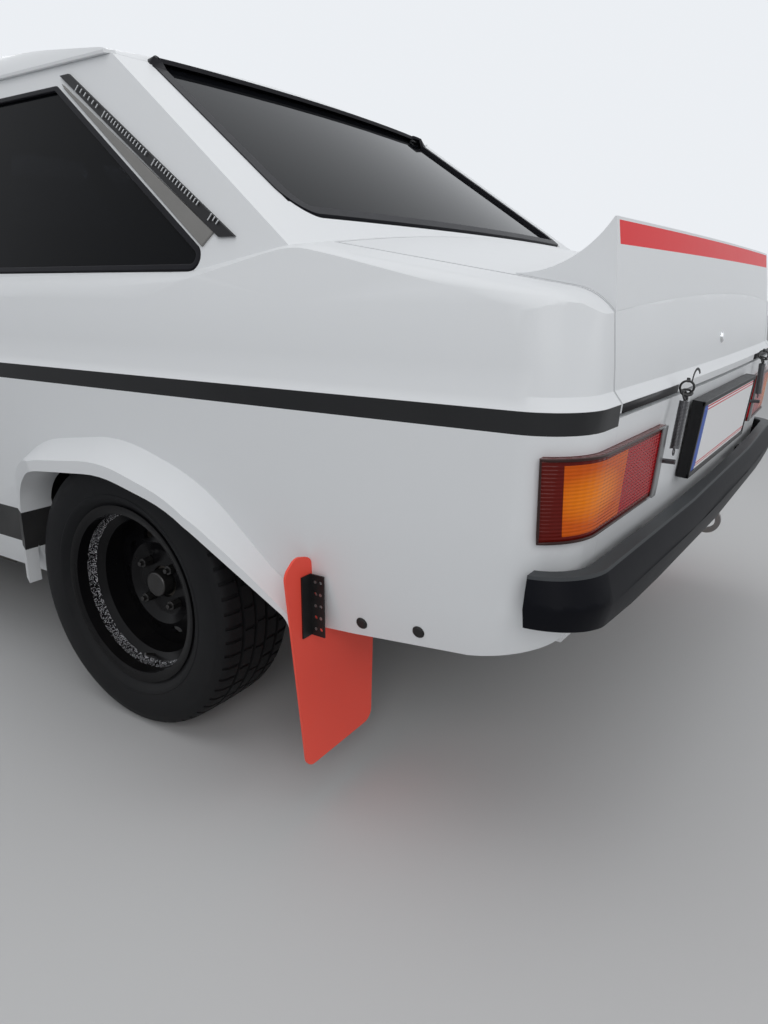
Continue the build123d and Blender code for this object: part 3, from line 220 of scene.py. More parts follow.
def finish(name, color, second, roughness, grain=700.0, bump=0.1, patch=0.5, scale=20.0, dust=0.05, spread=0.12,
           zones=(), gloss=0.5, metal=0.0, **shader):
    """Material from the shared surface group. The second colour lies over the first in patches, zones
    are masks painted over the first colour, and a single number for a colour means a grey."""
    material = bpy.data.materials.new(name)
    material.use_nodes = True
    tree = material.node_tree
    body = tree.nodes["Principled BSDF"]
    source, second = ((tone, tone, tone, 1) if isinstance(tone, float) else (*tone, 1) for tone in (color, second))
    for zone, zone_color in zones:
        source = blended(tree, zone(tree), source, zone_color)
    surface = joined(tree, "ShaderNodeGroup", {
        "Color": source, "Second Color": second, "Patches": scale, "Grain": grain, "Roughness": roughness,
        "Patch Share": min(patch, patch_share_under_zones) if zones else patch, "Roughness Spread": spread,
        "Dust": dust}, node_tree=surface_tree)
    relief = joined(tree, "ShaderNodeBump",
                    {"Height": surface.outputs["Height"], "Strength": bump, "Distance": relief_depth})
    tree.links.new(surface.outputs["Color"], body.inputs["Base Color"])
    tree.links.new(surface.outputs["Roughness"], body.inputs["Roughness"])
    tree.links.new(relief.outputs["Normal"], body.inputs["Normal"])
    shader.update(Specular_IOR_Level=gloss, Metallic=metal)
    for socket, value in shader.items():
        body.inputs[socket.replace("_", " ")].default_value = value
    return material


def within(tree, axis, low, high):
    """Mask that is 1 between two places along an axis."""
    return maths(tree, "COMPARE", axes(tree)[axis], (low + high) / 2, (high - low) / 2)


def off_middle(tree, x):
    """Mask that is 1 beyond a distance from the car's middle."""
    return maths(tree, "GREATER_THAN", maths(tree, "ABSOLUTE", axes(tree)["X"]), x)


def turned_out(tree):
    """Mask that is 1 on faces that look away from the car's middle, so no band runs on inside."""
    parts, faces = axes(tree), axes(tree, "Normal")
    sideways_share = times(tree, parts["X"], faces["X"])
    lengthways_share = times(tree, parts["Y"], 0.4, faces["Y"])
    return maths(tree, "GREATER_THAN", maths(tree, "ADD", sideways_share, lengthways_share), 0.0)


def waist_band(tree):
    return times(tree, within(tree, "Z", waist_low, waist_top), off_middle(tree, waist_from), turned_out(tree))


def lower_side(tree):
    along_side = within(tree, "Y", front_axle_y + 0.25, rear_axle_y - 0.2)
    low_down = within(tree, "Z", sill_low, sill_top)
    return times(tree, low_down, off_middle(tree, sill_from), along_side, turned_out(tree))


white, cool_white, stripe_black = (0.76, 0.775, 0.79), (0.70, 0.715, 0.73), (0.004, 0.004, 0.005)
body_paint = finish("satin_white_paint", white, cool_white, 0.36, grain=240.0, bump=0.035, scale=1.6,
                    dust=0.1, spread=0.08, zones=((waist_band, stripe_black), (lower_side, stripe_black)),
                    gloss=0.16, Coat_Weight=0.05, Coat_Roughness=0.22)


def use_only(piece):
    """Makes one object the active and only selected one."""
    bpy.ops.object.select_all(action="DESELECT")
    piece.select_set(True)
    bpy.context.view_layer.objects.active = piece


@contextmanager
def editing(piece, select="SELECT", mode=None):
    """Edit mode on one piece, with all or none of it selected first."""
    use_only(piece)
    bpy.ops.object.mode_set(mode="EDIT")
    if mode:
        bpy.ops.mesh.select_mode(type=mode)
    if select:
        bpy.ops.mesh.select_all(action=select)
    yield
    bpy.ops.object.mode_set(mode="OBJECT")


def picked(piece, kind, test):
    """Selects the corners, edges or faces that a test picks."""
    with editing(piece, "DESELECT", kind):
        pass
    for item in {"VERT": piece.data.vertices, "EDGE": piece.data.edges, "FACE": piece.data.polygons}[kind]:
        item.select = test(item)


def modified(piece, kind, **settings):
    """Adds a modifier with its settings and applies it."""
    use_only(piece)
    bpy.ops.object.modifier_add(type=kind)
    for key, value in settings.items():
        setattr(piece.modifiers[-1], key, value)
    bpy.ops.object.modifier_apply(modifier=piece.modifiers[-1].name)
    return piece


def copied_node(node_name, piece_name):
    """Free copy of a CAD node's mesh, its loose triangles merged."""
    piece = nodes[node_name].copy()
    piece.data = piece.data.copy()
    bpy.context.collection.objects.link(piece)
    piece.parent = None
    for key in list(piece.keys()):
        del piece[key]
    piece.name = piece_name
    piece.hide_render = piece.hide_viewport = False
    piece.data.materials.clear()
    with editing(piece):
        bpy.ops.mesh.customdata_custom_splitnormals_clear()
        bpy.ops.mesh.remove_doubles(threshold=0.00003)
    return piece


def drawn(piece, test, way):
    """Moves the corners that a test picks by their place."""
    picked(piece, "VERT", lambda corner: test(corner.co))
    with editing(piece, None):
        bpy.ops.transform.translate(value=way)


def smoothed(piece, degrees):
    """Smooth shading up to an angle, led by the large faces."""
    use_only(piece)
    bpy.ops.object.shade_smooth_by_angle(angle=math.radians(degrees))
    return modified(piece, "WEIGHTED_NORMAL", keep_sharp=True)


def settled(piece, body, material):
    """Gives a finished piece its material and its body."""
    piece.data.materials.clear()
    piece.data.materials.append(material)
    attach(piece, body)
    return piece


BODY_PANELS = (
    # node, body, smoothing angle
    ("body_side_left", "root", 33), ("body_side_right", "root", 33), ("roof_panel", "root", 33),
    ("front_wings", "root", 33), ("front_panel", "root", 33), ("bulkhead", "root", 30), ("rear_panel", "root", 30),
    ("rear_shelf", "root", 30), ("bonnet", "bonnet", 33), ("boot_lid", "boot_lid", 33),
    ("door_left", "door_left", 30), ("door_right", "door_right", 30),
)
for node_name, body_name, smooth_angle in BODY_PANELS:
    panel = copied_node(node_name, node_name + "_skin")
    if node_name == "roof_panel":
        drawn(panel, lambda spot: abs(spot.x) > rail_inner_x and spot.y > rail_end_y, (0, -rail_shortened, 0))
        drawn(panel, lambda spot: abs(spot.x) > rail_outer_x and spot.y > rail_drawn_y, (0, -rail_corner_cut, 0))
    smoothed(panel, smooth_angle)
    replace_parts(settled(panel, body_name, body_paint), node_name)

# The ducktail spoiler: one moulding in glass fibre, glued and screwed to the lid, painted with the
# body, with a red band masked off below its top edge and a thin white line left round the band.
spoiler_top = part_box("rear_spoiler")[1].z
# how far the band's edges lie below the top, its half length, and how far a face must look back
band_low, band_high, band_half_length, looks_back = 0.034, 0.004, 0.616, 0.6


def inverse(tree, mask):
    """Mask that is 1 where the given one is 0."""
    return maths(tree, "SUBTRACT", 1.0, mask)


def red_band(tree):
    on_back = maths(tree, "GREATER_THAN", axes(tree, "Normal")["Y"], looks_back)
    inside_ends = inverse(tree, off_middle(tree, band_half_length))
    return times(tree, within(tree, "Z", spoiler_top - band_low, spoiler_top - band_high), on_back, inside_ends)


def skin(node_name, ending, degrees, body, material):
    """Smoothed copy of a CAD node that stands in for it."""
    piece = smoothed(copied_node(node_name, node_name + ending), degrees)
    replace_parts(settled(piece, body, material), node_name)


spoiler_paint = finish("spoiler_paint", white, cool_white, 0.36, grain=240.0, bump=0.035, scale=1.6, dust=0.3,
                       spread=0.08, zones=((red_band, (0.78, 0.012, 0.018)),), gloss=0.06, Coat_Weight=0.02,
                       Coat_Roughness=0.22)
skin("rear_spoiler", "_skin", 33, "boot_lid", spoiler_paint)

# Black cloth-backed tape stuck on the lid's lower edge at each side, which carries the waist band
# from the corner to the lid's springs. It is cut from the lid's own back face and stands just proud.
SIDES = (("left", 1), ("right", -1))
tail_y, tape_end_x, tape_thickness = 1.9525, 0.368, 0.0012
tape_black = finish("lid_tape", (0.010, 0.010, 0.012), (0.03, 0.03, 0.032), 0.5, grain=900.0, bump=0.15,
                    patch=0.4, scale=60.0, gloss=0.3)


def sliced(piece, place, normal):
    """Cuts a mesh with a plane and clears the side the normal points to."""
    with editing(piece):
        bpy.ops.mesh.bisect(plane_co=place, plane_no=normal, clear_outer=True)


def kept_faces(piece, test):
    """Deletes every face but those the test picks."""
    picked(piece, "FACE", lambda face: not test(face))
    with editing(piece, None):
        bpy.ops.mesh.delete(type="FACE")


def rounded(piece, width, segments=1, degrees=30):
    """Bevels the edges that are sharper than an angle."""
    return modified(piece, "BEVEL", width=width, segments=segments, limit_method="ANGLE",
                    angle_limit=math.radians(degrees))


def thickened(piece, thickness, offset=1.0, bevel=0.0, segments=2):
    """Gives a sheet its wall, and rounds its edges."""
    modified(piece, "SOLIDIFY", thickness=thickness, offset=offset)
    return rounded(piece, bevel, segments, 50) if bevel else piece


for side_name, side in SIDES:
    tape = copied_node("boot_lid", "lid_tape_" + side_name)
    sliced(tape, (0, 0, waist_top), (0, 0, 1))
    sliced(tape, (side * tape_end_x, 0, 0), (-side, 0, 0))
    kept_faces(tape, lambda face: face.normal.y > 0.5 and face.center.y > tail_y - 0.06)
    settled(thickened(tape, tape_thickness), "boot_lid", tape_black)

# Window glass in rubber. The side and rear glass carries black tint film, so little shows inside; the
# windscreen is clear. Each pane sits in a moulded rubber seal that laps over the glass and the flange.
tinted = finish("tinted_glass", (0.004, 0.0045, 0.006), (0.01, 0.011, 0.014), 0.03, grain=40.0, bump=0.0,
                patch=0.3, scale=1.2, dust=0.02, spread=0.02, gloss=0.12, Transmission_Weight=0.35, IOR=1.2)
clear = finish("clear_glass", (0.86, 0.9, 0.9), (0.8, 0.86, 0.86), 0.02, grain=40.0, bump=0.0, patch=0.2,
               scale=1.2, dust=0.0, spread=0.01, Transmission_Weight=0.97, IOR=1.45)
seal_rubber = finish("seal_rubber", (0.006, 0.006, 0.008), (0.018, 0.018, 0.024), 0.42, grain=1200.0,
                     bump=0.08, patch=0.4, scale=14.0, dust=0.02, gloss=0.10)
side_seal_width, side_seal_rise, screen_seal_rise = 0.011, 0.0075, 0.0085


def coated(material, *node_names):
    """Gives CAD nodes that stay their material."""
    for node_name in node_names:
        nodes[node_name].data.materials[0] = material


def pane_seal(pane, piece_name, outward, width, rise, body, side=0, material=seal_rubber, round_by=0.0022):
    """Ring of the pane's outer face, lifted to the outside and rounded."""
    seal = copied_node(pane, piece_name)
    kept_faces(seal, lambda face: face.normal.dot(outward) > 0.35 and (not side or face.center.x * side > 0))
    with editing(seal, mode="FACE"):
        bpy.ops.mesh.dissolve_limited(angle_limit=math.radians(0.6))
        bpy.ops.mesh.select_all(action="SELECT")
        bpy.ops.mesh.remove_doubles(threshold=0.0012)
        bpy.ops.mesh.inset(thickness=width, use_boundary=True, use_even_offset=False)
        bpy.ops.mesh.delete(type="FACE")
    settled(smoothed(thickened(seal, rise, 1.0, round_by, 3), 50), body, material)


coated(tinted, "rear_window", "quarter_windows", "door_window_left", "door_window_right")
coated(clear, "windscreen")
pane_seal("rear_window", "rear_window_seal", Vector((0, 0.6, 0.8)), 0.024, screen_seal_rise, "root")
pane_seal("windscreen", "windscreen_seal", Vector((0, -0.6, 0.8)), 0.018, screen_seal_rise, "root")
for side_name, side in SIDES:
    for pane, piece_name, body_name in (("quarter_windows", "quarter_seal_", "root"),
                                        ("door_window_" + side_name, "door_seal_", "door_" + side_name)):
        pane_seal(pane, piece_name + side_name, Vector((side * 0.95, 0, 0.31)), side_seal_width, side_seal_rise,
                  body_name, side)

# Louvred trim down each rear pillar: a black plastic moulding pinned to the pillar, with rows of slots
# whose bright edges catch the light, drawn as bright ticks that are painted highlights. A grey gutter strip
# lies between it and the quarter window, its grey painted shade in the recessed flange.
vent_black = finish("vent_black", (0.005, 0.005, 0.006), (0.014, 0.014, 0.016), 0.45, grain=900.0, bump=0.12,
                    patch=0.4, scale=30.0, gloss=0.25)
# bright metal for the painted highlights on the vent slots' edges, and for the dial marks
highlight_and_dial_marks = finish("highlight_and_dial_marks", (0.66, 0.67, 0.68), (0.4, 0.4, 0.41), 0.3, grain=900.0, bump=0.05,
                     scale=60.0, dust=0.1, metal=0.7)
# the strip's grey is painted shade: the recessed flange it lies on is body white
gutter_shade_grey = finish("window_surround", (0.20, 0.195, 0.185), (0.13, 0.125, 0.12), 0.5, grain=500.0,
                     patch=0.6, dust=0.2)
VENT_ROWS = (
    # first and last slot as shares of the trim's length, slots in the row
    (0.10, 0.24, 6), (0.29, 0.56, 16), (0.61, 0.86, 16), (0.93, 0.965, 3),
)
vent_top = Vector((0.6, rear_axle_y - 0.273, 1.2585))
vent_foot = Vector((0.7, rear_axle_y + 0.243, 0.9475))
vent_run = vent_foot - vent_top
pillar_out = Vector((0.951, 0, 0.308))
vent_across = vent_run.normalized().cross(pillar_out)
slot_lift, slot_back, slot_wire, slot_length, first_slot_length = 0.0052, 0.006, 0.0022, 0.0085, 0.0135
# corners of the gutter strip: share of the trim's length, distance from the trim's middle
GUTTER_CORNERS = ((0.0, 0.0150), (0.965, 0.0150), (0.955, 0.0470), (0.03, 0.0195))


def beside(point, side):
    """The same place on the other side of the car, when the side is -1."""
    return Vector((point.x * side, point.y, point.z))


def new_shape(name, primitive, **settings):
    """Primitive added on its own, under its name."""
    bpy.ops.object.select_all(action="DESELECT")
    primitive(**settings)
    made = bpy.context.object
    made.name = name
    return made


def bar(name, start, stop, width, thickness, normal, bevel, segments=2):
    """Straight bar between two points, its edges rounded, its flat side to the normal."""
    along = stop - start
    made = new_shape(name, bpy.ops.mesh.primitive_cube_add, size=1)
    ahead_axis = along.normalized()
    out_axis = (normal - ahead_axis * normal.dot(ahead_axis)).normalized()
    cross_axis = out_axis.cross(ahead_axis)
    turn = Matrix((ahead_axis * along.length, cross_axis * width, out_axis * thickness)).transposed().to_4x4()
    made.data.transform(Matrix.Translation((start + stop) / 2) @ turn)
    return rounded(made, bevel, segments)


def merged(pieces, name):
    """Joins pieces that are one moulding or one set."""
    use_only(pieces[0])
    for piece in pieces:
        piece.select_set(True)
    bpy.ops.object.join()
    pieces[0].name = name
    return pieces[0]


def traced(name, points):
    """Chain of edges through points, drawn by extruding one corner."""
    line = new_shape(name, bpy.ops.mesh.primitive_plane_add, size=0.01)
    with editing(line, mode="VERT"):
        bpy.ops.mesh.merge(type="CENTER")
        bpy.ops.transform.translate(value=points[0])
        for before, after in zip(points, points[1:]):
            bpy.ops.mesh.extrude_region_move(TRANSFORM_OT_translate={"value": after - before})
    return line


coated(vent_black, "pillar_vents")
for side_name, side in SIDES:
    slots = []
    for row_start, row_end, count in VENT_ROWS:
        for index in range(count):
            middle = vent_top + vent_run * (row_start + (row_end - row_start) * index / (count - 1))
            length = slot_length if index else first_slot_length
            # each bright tick is a painted highlight on a slot's edge
            start = beside(middle + pillar_out * slot_lift - vent_across * slot_back, side)
            stop = beside(middle + pillar_out * slot_lift - vent_across * (slot_back - length), side)
            slots.append(bar("vent_highlight_tick", start, stop, slot_wire, slot_wire, beside(pillar_out, side), 0.0006, 1))
    settled(merged(slots, "vent_louvre_highlights_" + side_name), "root", highlight_and_dial_marks)
    gutter = traced("pillar_gutter_" + side_name,
                    [beside(vent_top + vent_run * share + vent_across * out, side)
                     for share, out in GUTTER_CORNERS])
    with editing(gutter):
        bpy.ops.mesh.edge_face_add()
        bpy.ops.mesh.normals_make_consistent(inside=False)
    settled(thickened(gutter, 0.0044, 0.0, 0.0014), "root", gutter_shade_grey)

# Tail lamps: one ribbed plastic lens a side, amber at the corner and red inboard, over a plated bezel
# that is thick at its inner end. They wrap round the corner of the tail panel.
# the second amber is a painted highlight, the reflector's shine seen through the lens
amber, amber_highlight = (0.62, 0.10, 0.003), (0.95, 0.26, 0.004)
# the darker red is painted shade along the lens's top and bottom edges and on its side wrap
lamp_red, lens_shade_red = (0.38, 0.006, 0.010), (0.11, 0.006, 0.003)
amber_from, amber_to, lens_low, lens_top, lamp_side_from, lamp_side_to = 0.61, 0.9, 0.5525, 0.6475, 1.88, 1.914
# middle of the painted highlight, and how steeply it fades across and upwards
glow_x, glow_z, glow_fade_x, glow_fade_z, glow_share = 0.705, 0.602, 12.0, 26.0, 0.8
# the bezel is plated silver up to the first distance from the middle and painted dark as shade beyond it
bezel_shade_from, bezel_end_x = 0.475, 0.456


def amber_part(tree):
    return times(tree, off_middle(tree, amber_from), inverse(tree, off_middle(tree, amber_to)))


# painted shade: darker red along the lens's top and bottom edges
def lens_edge_shade(tree):
    return inverse(tree, within(tree, "Z", lens_low, lens_top))


# painted shade: darker red on the side wrap of the lens
def lens_side_shade(tree):
    return within(tree, "Y", lamp_side_from, lamp_side_to)


def reflector_highlight(tree):
    """Painted highlight: a brighter patch standing for the reflector's shine behind the amber part."""
    parts = axes(tree)
    away_x = times(tree, maths(tree, "SUBTRACT", maths(tree, "ABSOLUTE", parts["X"]), glow_x), glow_fade_x)
    away_z = times(tree, maths(tree, "SUBTRACT", parts["Z"], glow_z), glow_fade_z)
    distance = maths(tree, "ADD", times(tree, away_x, away_x), times(tree, away_z, away_z))
    return times(tree, maths(tree, "MAXIMUM", inverse(tree, distance), 0.0), glow_share)


def wave(tree, scale, way):
    """Even ribs fixed to the piece, one after the other along an axis."""
    ribs = joined(tree, "ShaderNodeTexWave", {"Vector": shaded_place(tree), "Scale": scale}, bands_direction=way)
    return ribs.outputs["Fac"]


def relief_of(material):
    return next(node for node in material.node_tree.nodes if node.bl_idname == "ShaderNodeBump")


def lens_material(name, zones, base):
    """Glossy ribbed plastic lens: fine level flutes with upright facets between them."""
    material = finish(name, base, base, 0.12, grain=40.0, bump=0.55, patch=0.1, scale=30.0, dust=0.02,
                      spread=0.04, zones=zones, gloss=0.12, Coat_Weight=0.06, Coat_Roughness=0.05)
    tree, relief = material.node_tree, relief_of(material)
    ribs = maths(tree, "ADD", wave(tree, 62.0, "Z"), times(tree, wave(tree, 26.0, "X"), 0.5))
    tree.links.new(ribs, relief.inputs["Height"])
    relief.inputs["Distance"].default_value = 0.0012
    return material


lens_zones = ((amber_part, amber), (reflector_highlight, amber_highlight), (lens_edge_shade, lens_shade_red), (lens_side_shade, lens_shade_red))
coated(lens_material("tail_lens", lens_zones, lamp_red), "tail_lamps")


# painted shade: the bezel's outer part is dark, as the line of shade round the lamp
def bezel_shade_part(tree):
    return off_middle(tree, bezel_shade_from)


bezel_silver = finish("lamp_bezel", (0.24, 0.245, 0.25), 0.13, 0.3, grain=500.0, bump=0.06, scale=30.0,
                      dust=0.02, spread=0.1, zones=((bezel_shade_part, (0.035, 0.012, 0.010)),), metal=0.5)
for side_name, side in SIDES:
    corner_out = Vector((side * 0.707, 0.707, 0))
    pane_seal("tail_lamps", "lamp_bezel_" + side_name, corner_out, 0.004, 0.003, "root", side, bezel_silver, 0.001)
    lamp_end = copied_node("tail_lamps", "lamp_end_" + side_name)
    kept_faces(lamp_end, lambda face: face.normal.y > 0.7 and face.center.x * side > 0)
    sliced(lamp_end, (side * bezel_end_x, 0, 0), (side, 0, 0))
    settled(thickened(lamp_end, 0.0045, 1.0, 0.0015, 3), "root", bezel_silver)

# Bumpers: rolled steel blades sprayed satin black, with a lighter band painted along the top edge as a highlight.
# Each is bolted to the body through its ends.
bumper_edge_low, bumper_edge_top, bumper_round = 0.5015, 0.53, 0.007


# painted highlight: a lighter band along the bumper's top edge
def bumper_top_highlight(tree):
    return within(tree, "Z", bumper_edge_low, bumper_edge_top)


bumper_black = finish("bumper_black", (0.005, 0.0055, 0.008), (0.014, 0.014, 0.017), 0.38, grain=420.0,
                      bump=0.015, patch=0.3, scale=5.0, dust=0.03, spread=0.05,
                      zones=((bumper_top_highlight, (0.06, 0.064, 0.068)),), gloss=0.05)
for node_name in ("rear_bumper", "front_bumper"):
    blade = copied_node(node_name, node_name + "_blade")
    with editing(blade):
        bpy.ops.mesh.dissolve_limited(angle_limit=math.radians(1))
    smoothed(rounded(blade, bumper_round, 4, 45), 40)
    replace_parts(settled(blade, "root", bumper_black), node_name)

# Number plates: a thin pressed plate with blank field, red hairlines and a blue end band, clipped into
# a black plastic holder with a raised rim.
plate_width, plate_height, plate_wall = 0.52, 0.12, 0.0016
plate_border, plate_step, plate_edge_round, plate_lift = 0.0065, 0.0009, 0.0005, 0.0098
rim_half_width, rim_half_height, rim_reach_x, rim_reach_z, plate_rim_lift = 0.2615, 0.0645, 0.266, 0.069, 0.0105
band_start_x, band_end_x = 0.2215, 0.26
HAIRLINES = (
    # distance from the plate's middle, half width
    (0.0542, 0.0014), (0.0492, 0.0012),
)
PLATES = (
    # name, y, z, lean in degrees, way it faces
    ("rear", 1.9545, 0.607, 6.0, 1), ("front", -2.0018, 0.462, 0.0, -1),
)
holder_black = finish("plate_holder", (0.006, 0.006, 0.007), 0.015, 0.4, patch=0.4, gloss=0.25)
coated(holder_black, "number_plates")


def hairlines(centre):
    """Mask of two fine lines along each long edge of a plate."""
    def zone(tree):
        away = maths(tree, "ABSOLUTE", maths(tree, "SUBTRACT", axes(tree)["Z"], centre))
        outer, inner = (maths(tree, "COMPARE", away, distance, half) for distance, half in HAIRLINES)
        return maths(tree, "ADD", outer, inner)
    return zone


def end_band(facing):
    """Mask of the band at a plate's left end."""
    return lambda tree: within(tree, "X", *sorted((facing * band_start_x, facing * band_end_x)))


for plate_name, plate_y, plate_z, plate_lean, facing in PLATES:
    plate_zones = ((hairlines(plate_z), (0.62, 0.012, 0.02)), (end_band(facing), (0.006, 0.07, 0.42)))
    plate_paint = finish("plate_face_" + plate_name, (0.82, 0.82, 0.83), (0.74, 0.74, 0.75), 0.3, grain=300.0,
                         bump=0.03, patch=0.3, scale=6.0, dust=0.2, spread=0.08, gloss=0.06,
                         zones=plate_zones)
    plate = new_shape("plate_" + plate_name, bpy.ops.mesh.primitive_cube_add, size=1)
    plate.data.transform(Matrix.Diagonal((plate_width, plate_wall, plate_height, 1)))
    picked(plate, "FACE", lambda face: face.normal.y * facing > 0.5)
    with editing(plate, None):
        bpy.ops.mesh.inset(thickness=plate_border)
        bpy.ops.mesh.extrude_region_move(TRANSFORM_OT_translate={"value": (0, facing * plate_step, 0)})
    rounded(plate, plate_edge_round)
    stand = Matrix.Translation((0, plate_y, plate_z)) @ Matrix.Rotation(math.radians(-plate_lean), 4, "X")
    plate.data.transform(stand @ Matrix.Translation((0, facing * plate_lift, 0)))
    settled(plate, "root", plate_paint)
    rim_bars = []
    for from_x, from_z, to_x, to_z in ((-rim_reach_x, rim_half_height, rim_reach_x, rim_half_height),
                                       (-rim_reach_x, -rim_half_height, rim_reach_x, -rim_half_height),
                                       (-rim_half_width, -rim_reach_z, -rim_half_width, rim_reach_z),
                                       (rim_half_width, -rim_reach_z, rim_half_width, rim_reach_z)):
        start = Vector((from_x, facing * plate_rim_lift, from_z))
        stop = Vector((to_x, facing * plate_rim_lift, to_z))
        rim_bars.append(bar("plate_rim", start, stop, 0.009, 0.005, Vector((0, facing, 0)), 0.0015))
    plate_rim = merged(rim_bars, "plate_rim_" + plate_name)
    plate_rim.data.transform(stand)
    settled(plate_rim, "root", holder_black)

# Boot springs: a close-wound steel extension spring each side, hooked to an eye below the lid and tied
# to a hole in the lid with black zip ties, to keep the lid shut on rough stages.
spring_black = finish("spring_steel", (0.13, 0.13, 0.14), (0.06, 0.055, 0.05), 0.3, grain=900.0, scale=90.0,
                      metal=0.8)
tie_black = finish("zip_tie", (0.012, 0.012, 0.013), 0.03, 0.42, grain=900.0, bump=0.06, patch=0.4,
                   scale=40.0, dust=0.1)
spring_top, spring_low = Vector((0.386, 1.9665, 0.706)), Vector((0.415, 1.9630, 0.600))
spring_turns, steps_a_turn, coil_length, coil_radius, spring_wire = 34, 14, 0.076, 0.0066, 0.00105
rearward = Vector((0, 1, 0))
tie_wire, tail_steps, tail_step, tail_turn = 0.0018, 9, 0.0052, 17


def aimed(place, way):
    """Puts a shape made round the Z axis at a place, turned to look along a way."""
    return Matrix.Translation(place) @ way.to_track_quat("Z", "Y").to_matrix().to_4x4()


def ring(name, centre, axis, major, minor, sides=28, wire_sides=8):
    """Round ring about an axis."""
    made = new_shape(name, bpy.ops.mesh.primitive_torus_add, major_radius=major, minor_radius=minor,
                     major_segments=sides, minor_segments=wire_sides)
    made.data.transform(aimed(centre, axis))
    return smoothed(made, 60)


def rod(name, start, stop, radius, sides, bevel, taper=1.0):
    """Round bar between two points, its end edges rounded."""
    along = stop - start
    made = new_shape(name, bpy.ops.mesh.primitive_cone_add, vertices=sides, radius1=radius, radius2=radius * taper,
                     depth=along.length)
    rounded(made, bevel, 3)
    made.data.transform(aimed((start + stop) / 2, along))
    return smoothed(made, 40)


for side_name, side in SIDES:
    top, low = beside(spring_top, side), beside(spring_low, side)
    pull, middle = (top - low).normalized(), (top + low) / 2
    coil = new_shape("spring_coil", bpy.ops.mesh.primitive_circle_add, vertices=6, radius=spring_wire,
                     location=(coil_radius, 0, 0), rotation=(math.pi / 2, 0, 0))
    bpy.ops.object.transform_apply()
    coil_steps = steps_a_turn * spring_turns
    modified(coil, "SCREW", angle=math.tau * spring_turns, screw_offset=coil_length, steps=coil_steps,
             render_steps=coil_steps)
    coil.data.transform(aimed(middle - pull * coil_length / 2, pull))
    smoothed(coil, 60)
    bolt_at = low - pull * 0.004
    parts = [coil,
             ring("spring_hook", middle + pull * (coil_length / 2 + 0.005), rearward, 0.0055, 0.0011),
             ring("spring_hook", middle - pull * (coil_length / 2 + 0.005), rearward, 0.0055, 0.0011),
             rod("spring_bolt", bolt_at - rearward * 0.026, bolt_at + rearward * 0.006, 0.0042, 6, 0.0006)]
    boot_spring = merged(parts, "boot_spring_" + side_name)
    if side > 0:
        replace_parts(boot_spring, "boot_springs")
    settled(boot_spring, "root", spring_black)
    ties = [ring("tie_loop", middle + pull * 0.052 + rearward * 0.001, Vector((0.4 * side, 0.2, 0.9)), 0.0085,
                 tie_wire),
            ring("tie_loop", middle + pull * 0.060, Vector((0.9, 0.3, -0.2 * side)), 0.0105, tie_wire),
            ring("tie_loop", middle + pull * 0.046, Vector((0.1, 0.9, 0.3)), 0.008, tie_wire),
            bar("tie_lock", middle + pull * 0.068, middle + pull * 0.075, 0.006, 0.005, rearward, 0.001)]
    if side > 0:
        # the left tie's cut end stands up in a curl
        tail_start = middle + pull * 0.068 + rearward * 0.006
        for step in range(tail_steps):
            turn = math.radians(step * tail_turn)
            next_start = tail_start + Vector((-math.sin(turn) * tail_step, 0.0004, math.cos(turn) * tail_step))
            ties.append(bar("tie_tail", tail_start, next_start + (next_start - tail_start) * 0.15, 0.0040, 0.0014,
                            rearward, 0.0003, 1))
            tail_start = next_start
    settled(merged(ties, "spring_ties_" + side_name), "root", tie_black)

# Wheels: deep steel rims in gloss black, the band between disc and barrel left in coarse silver grit,
# held by four nuts. The tyres are low road tyres with four round grooves and notched shoulders; their
# sidewalls are left bare.
TYRE_HALF = (
    # out from the tyre's middle, radius: tread, shoulder, wall and bead of the outer half
    (0.0, 0.2758), (0.0105, 0.2758), (0.0115, 0.2695), (0.0175, 0.2695), (0.0185, 0.2757), (0.0425, 0.2753),
    (0.0435, 0.2690), (0.0495, 0.2690), (0.0505, 0.2750), (0.0690, 0.2738), (0.0780, 0.2712), (0.0845, 0.2668),
    (0.0888, 0.2600), (0.0915, 0.2520), (0.0925, 0.2500), (0.0935, 0.2400), (0.0939, 0.2280), (0.0930, 0.2140),
    (0.0915, 0.2060), (0.0925, 0.2045), (0.0920, 0.2000), (0.0895, 0.1960), (0.0850, 0.1900), (0.0800, 0.1850),
    (0.0788, 0.1828), (0.0772, 0.1725),
)
NOTCHES = (
    # from, to (out from the middle), least radius, every so many steps, first step, share of the radius left
    (0.0505, 0.0850, 0.2645, 4, 0, 0.984), (0.0190, 0.0425, 0.2705, 6, 2, 0.9865),
    (0.0, 0.0105, 0.2705, 8, 5, 0.989),
)
WHEELS = (("front_left", 1, front_axle_y), ("front_right", -1, front_axle_y), ("rear_left", 1, rear_axle_y),
          ("rear_right", -1, rear_axle_y))
wheel_z, wheel_x, tyre_steps, nut_circle, valve_circle = 0.276, 0.69, 240, 0.054, 0.151
grit_radius, grit_half_band, grit_out, grit_half_depth = 0.1525, 0.0125, 0.048, 0.009


def wheel_radius(tree):
    """Distance of a point from the nearest wheel's axis, and how far out from the wheel's middle it is."""
    parts = axes(tree)
    axle_middle, axle_half = (rear_axle_y + front_axle_y) / 2, (rear_axle_y - front_axle_y) / 2
    along = maths(tree, "SUBTRACT", parts["Y"], axle_middle)
    along = maths(tree, "SUBTRACT", maths(tree, "ABSOLUTE", along), axle_half)
    up = maths(tree, "SUBTRACT", parts["Z"], wheel_z)
    square = maths(tree, "ADD", times(tree, along, along), times(tree, up, up))
    outer = maths(tree, "SUBTRACT", maths(tree, "ABSOLUTE", parts["X"]), wheel_x)
    return maths(tree, "SQRT", square), outer


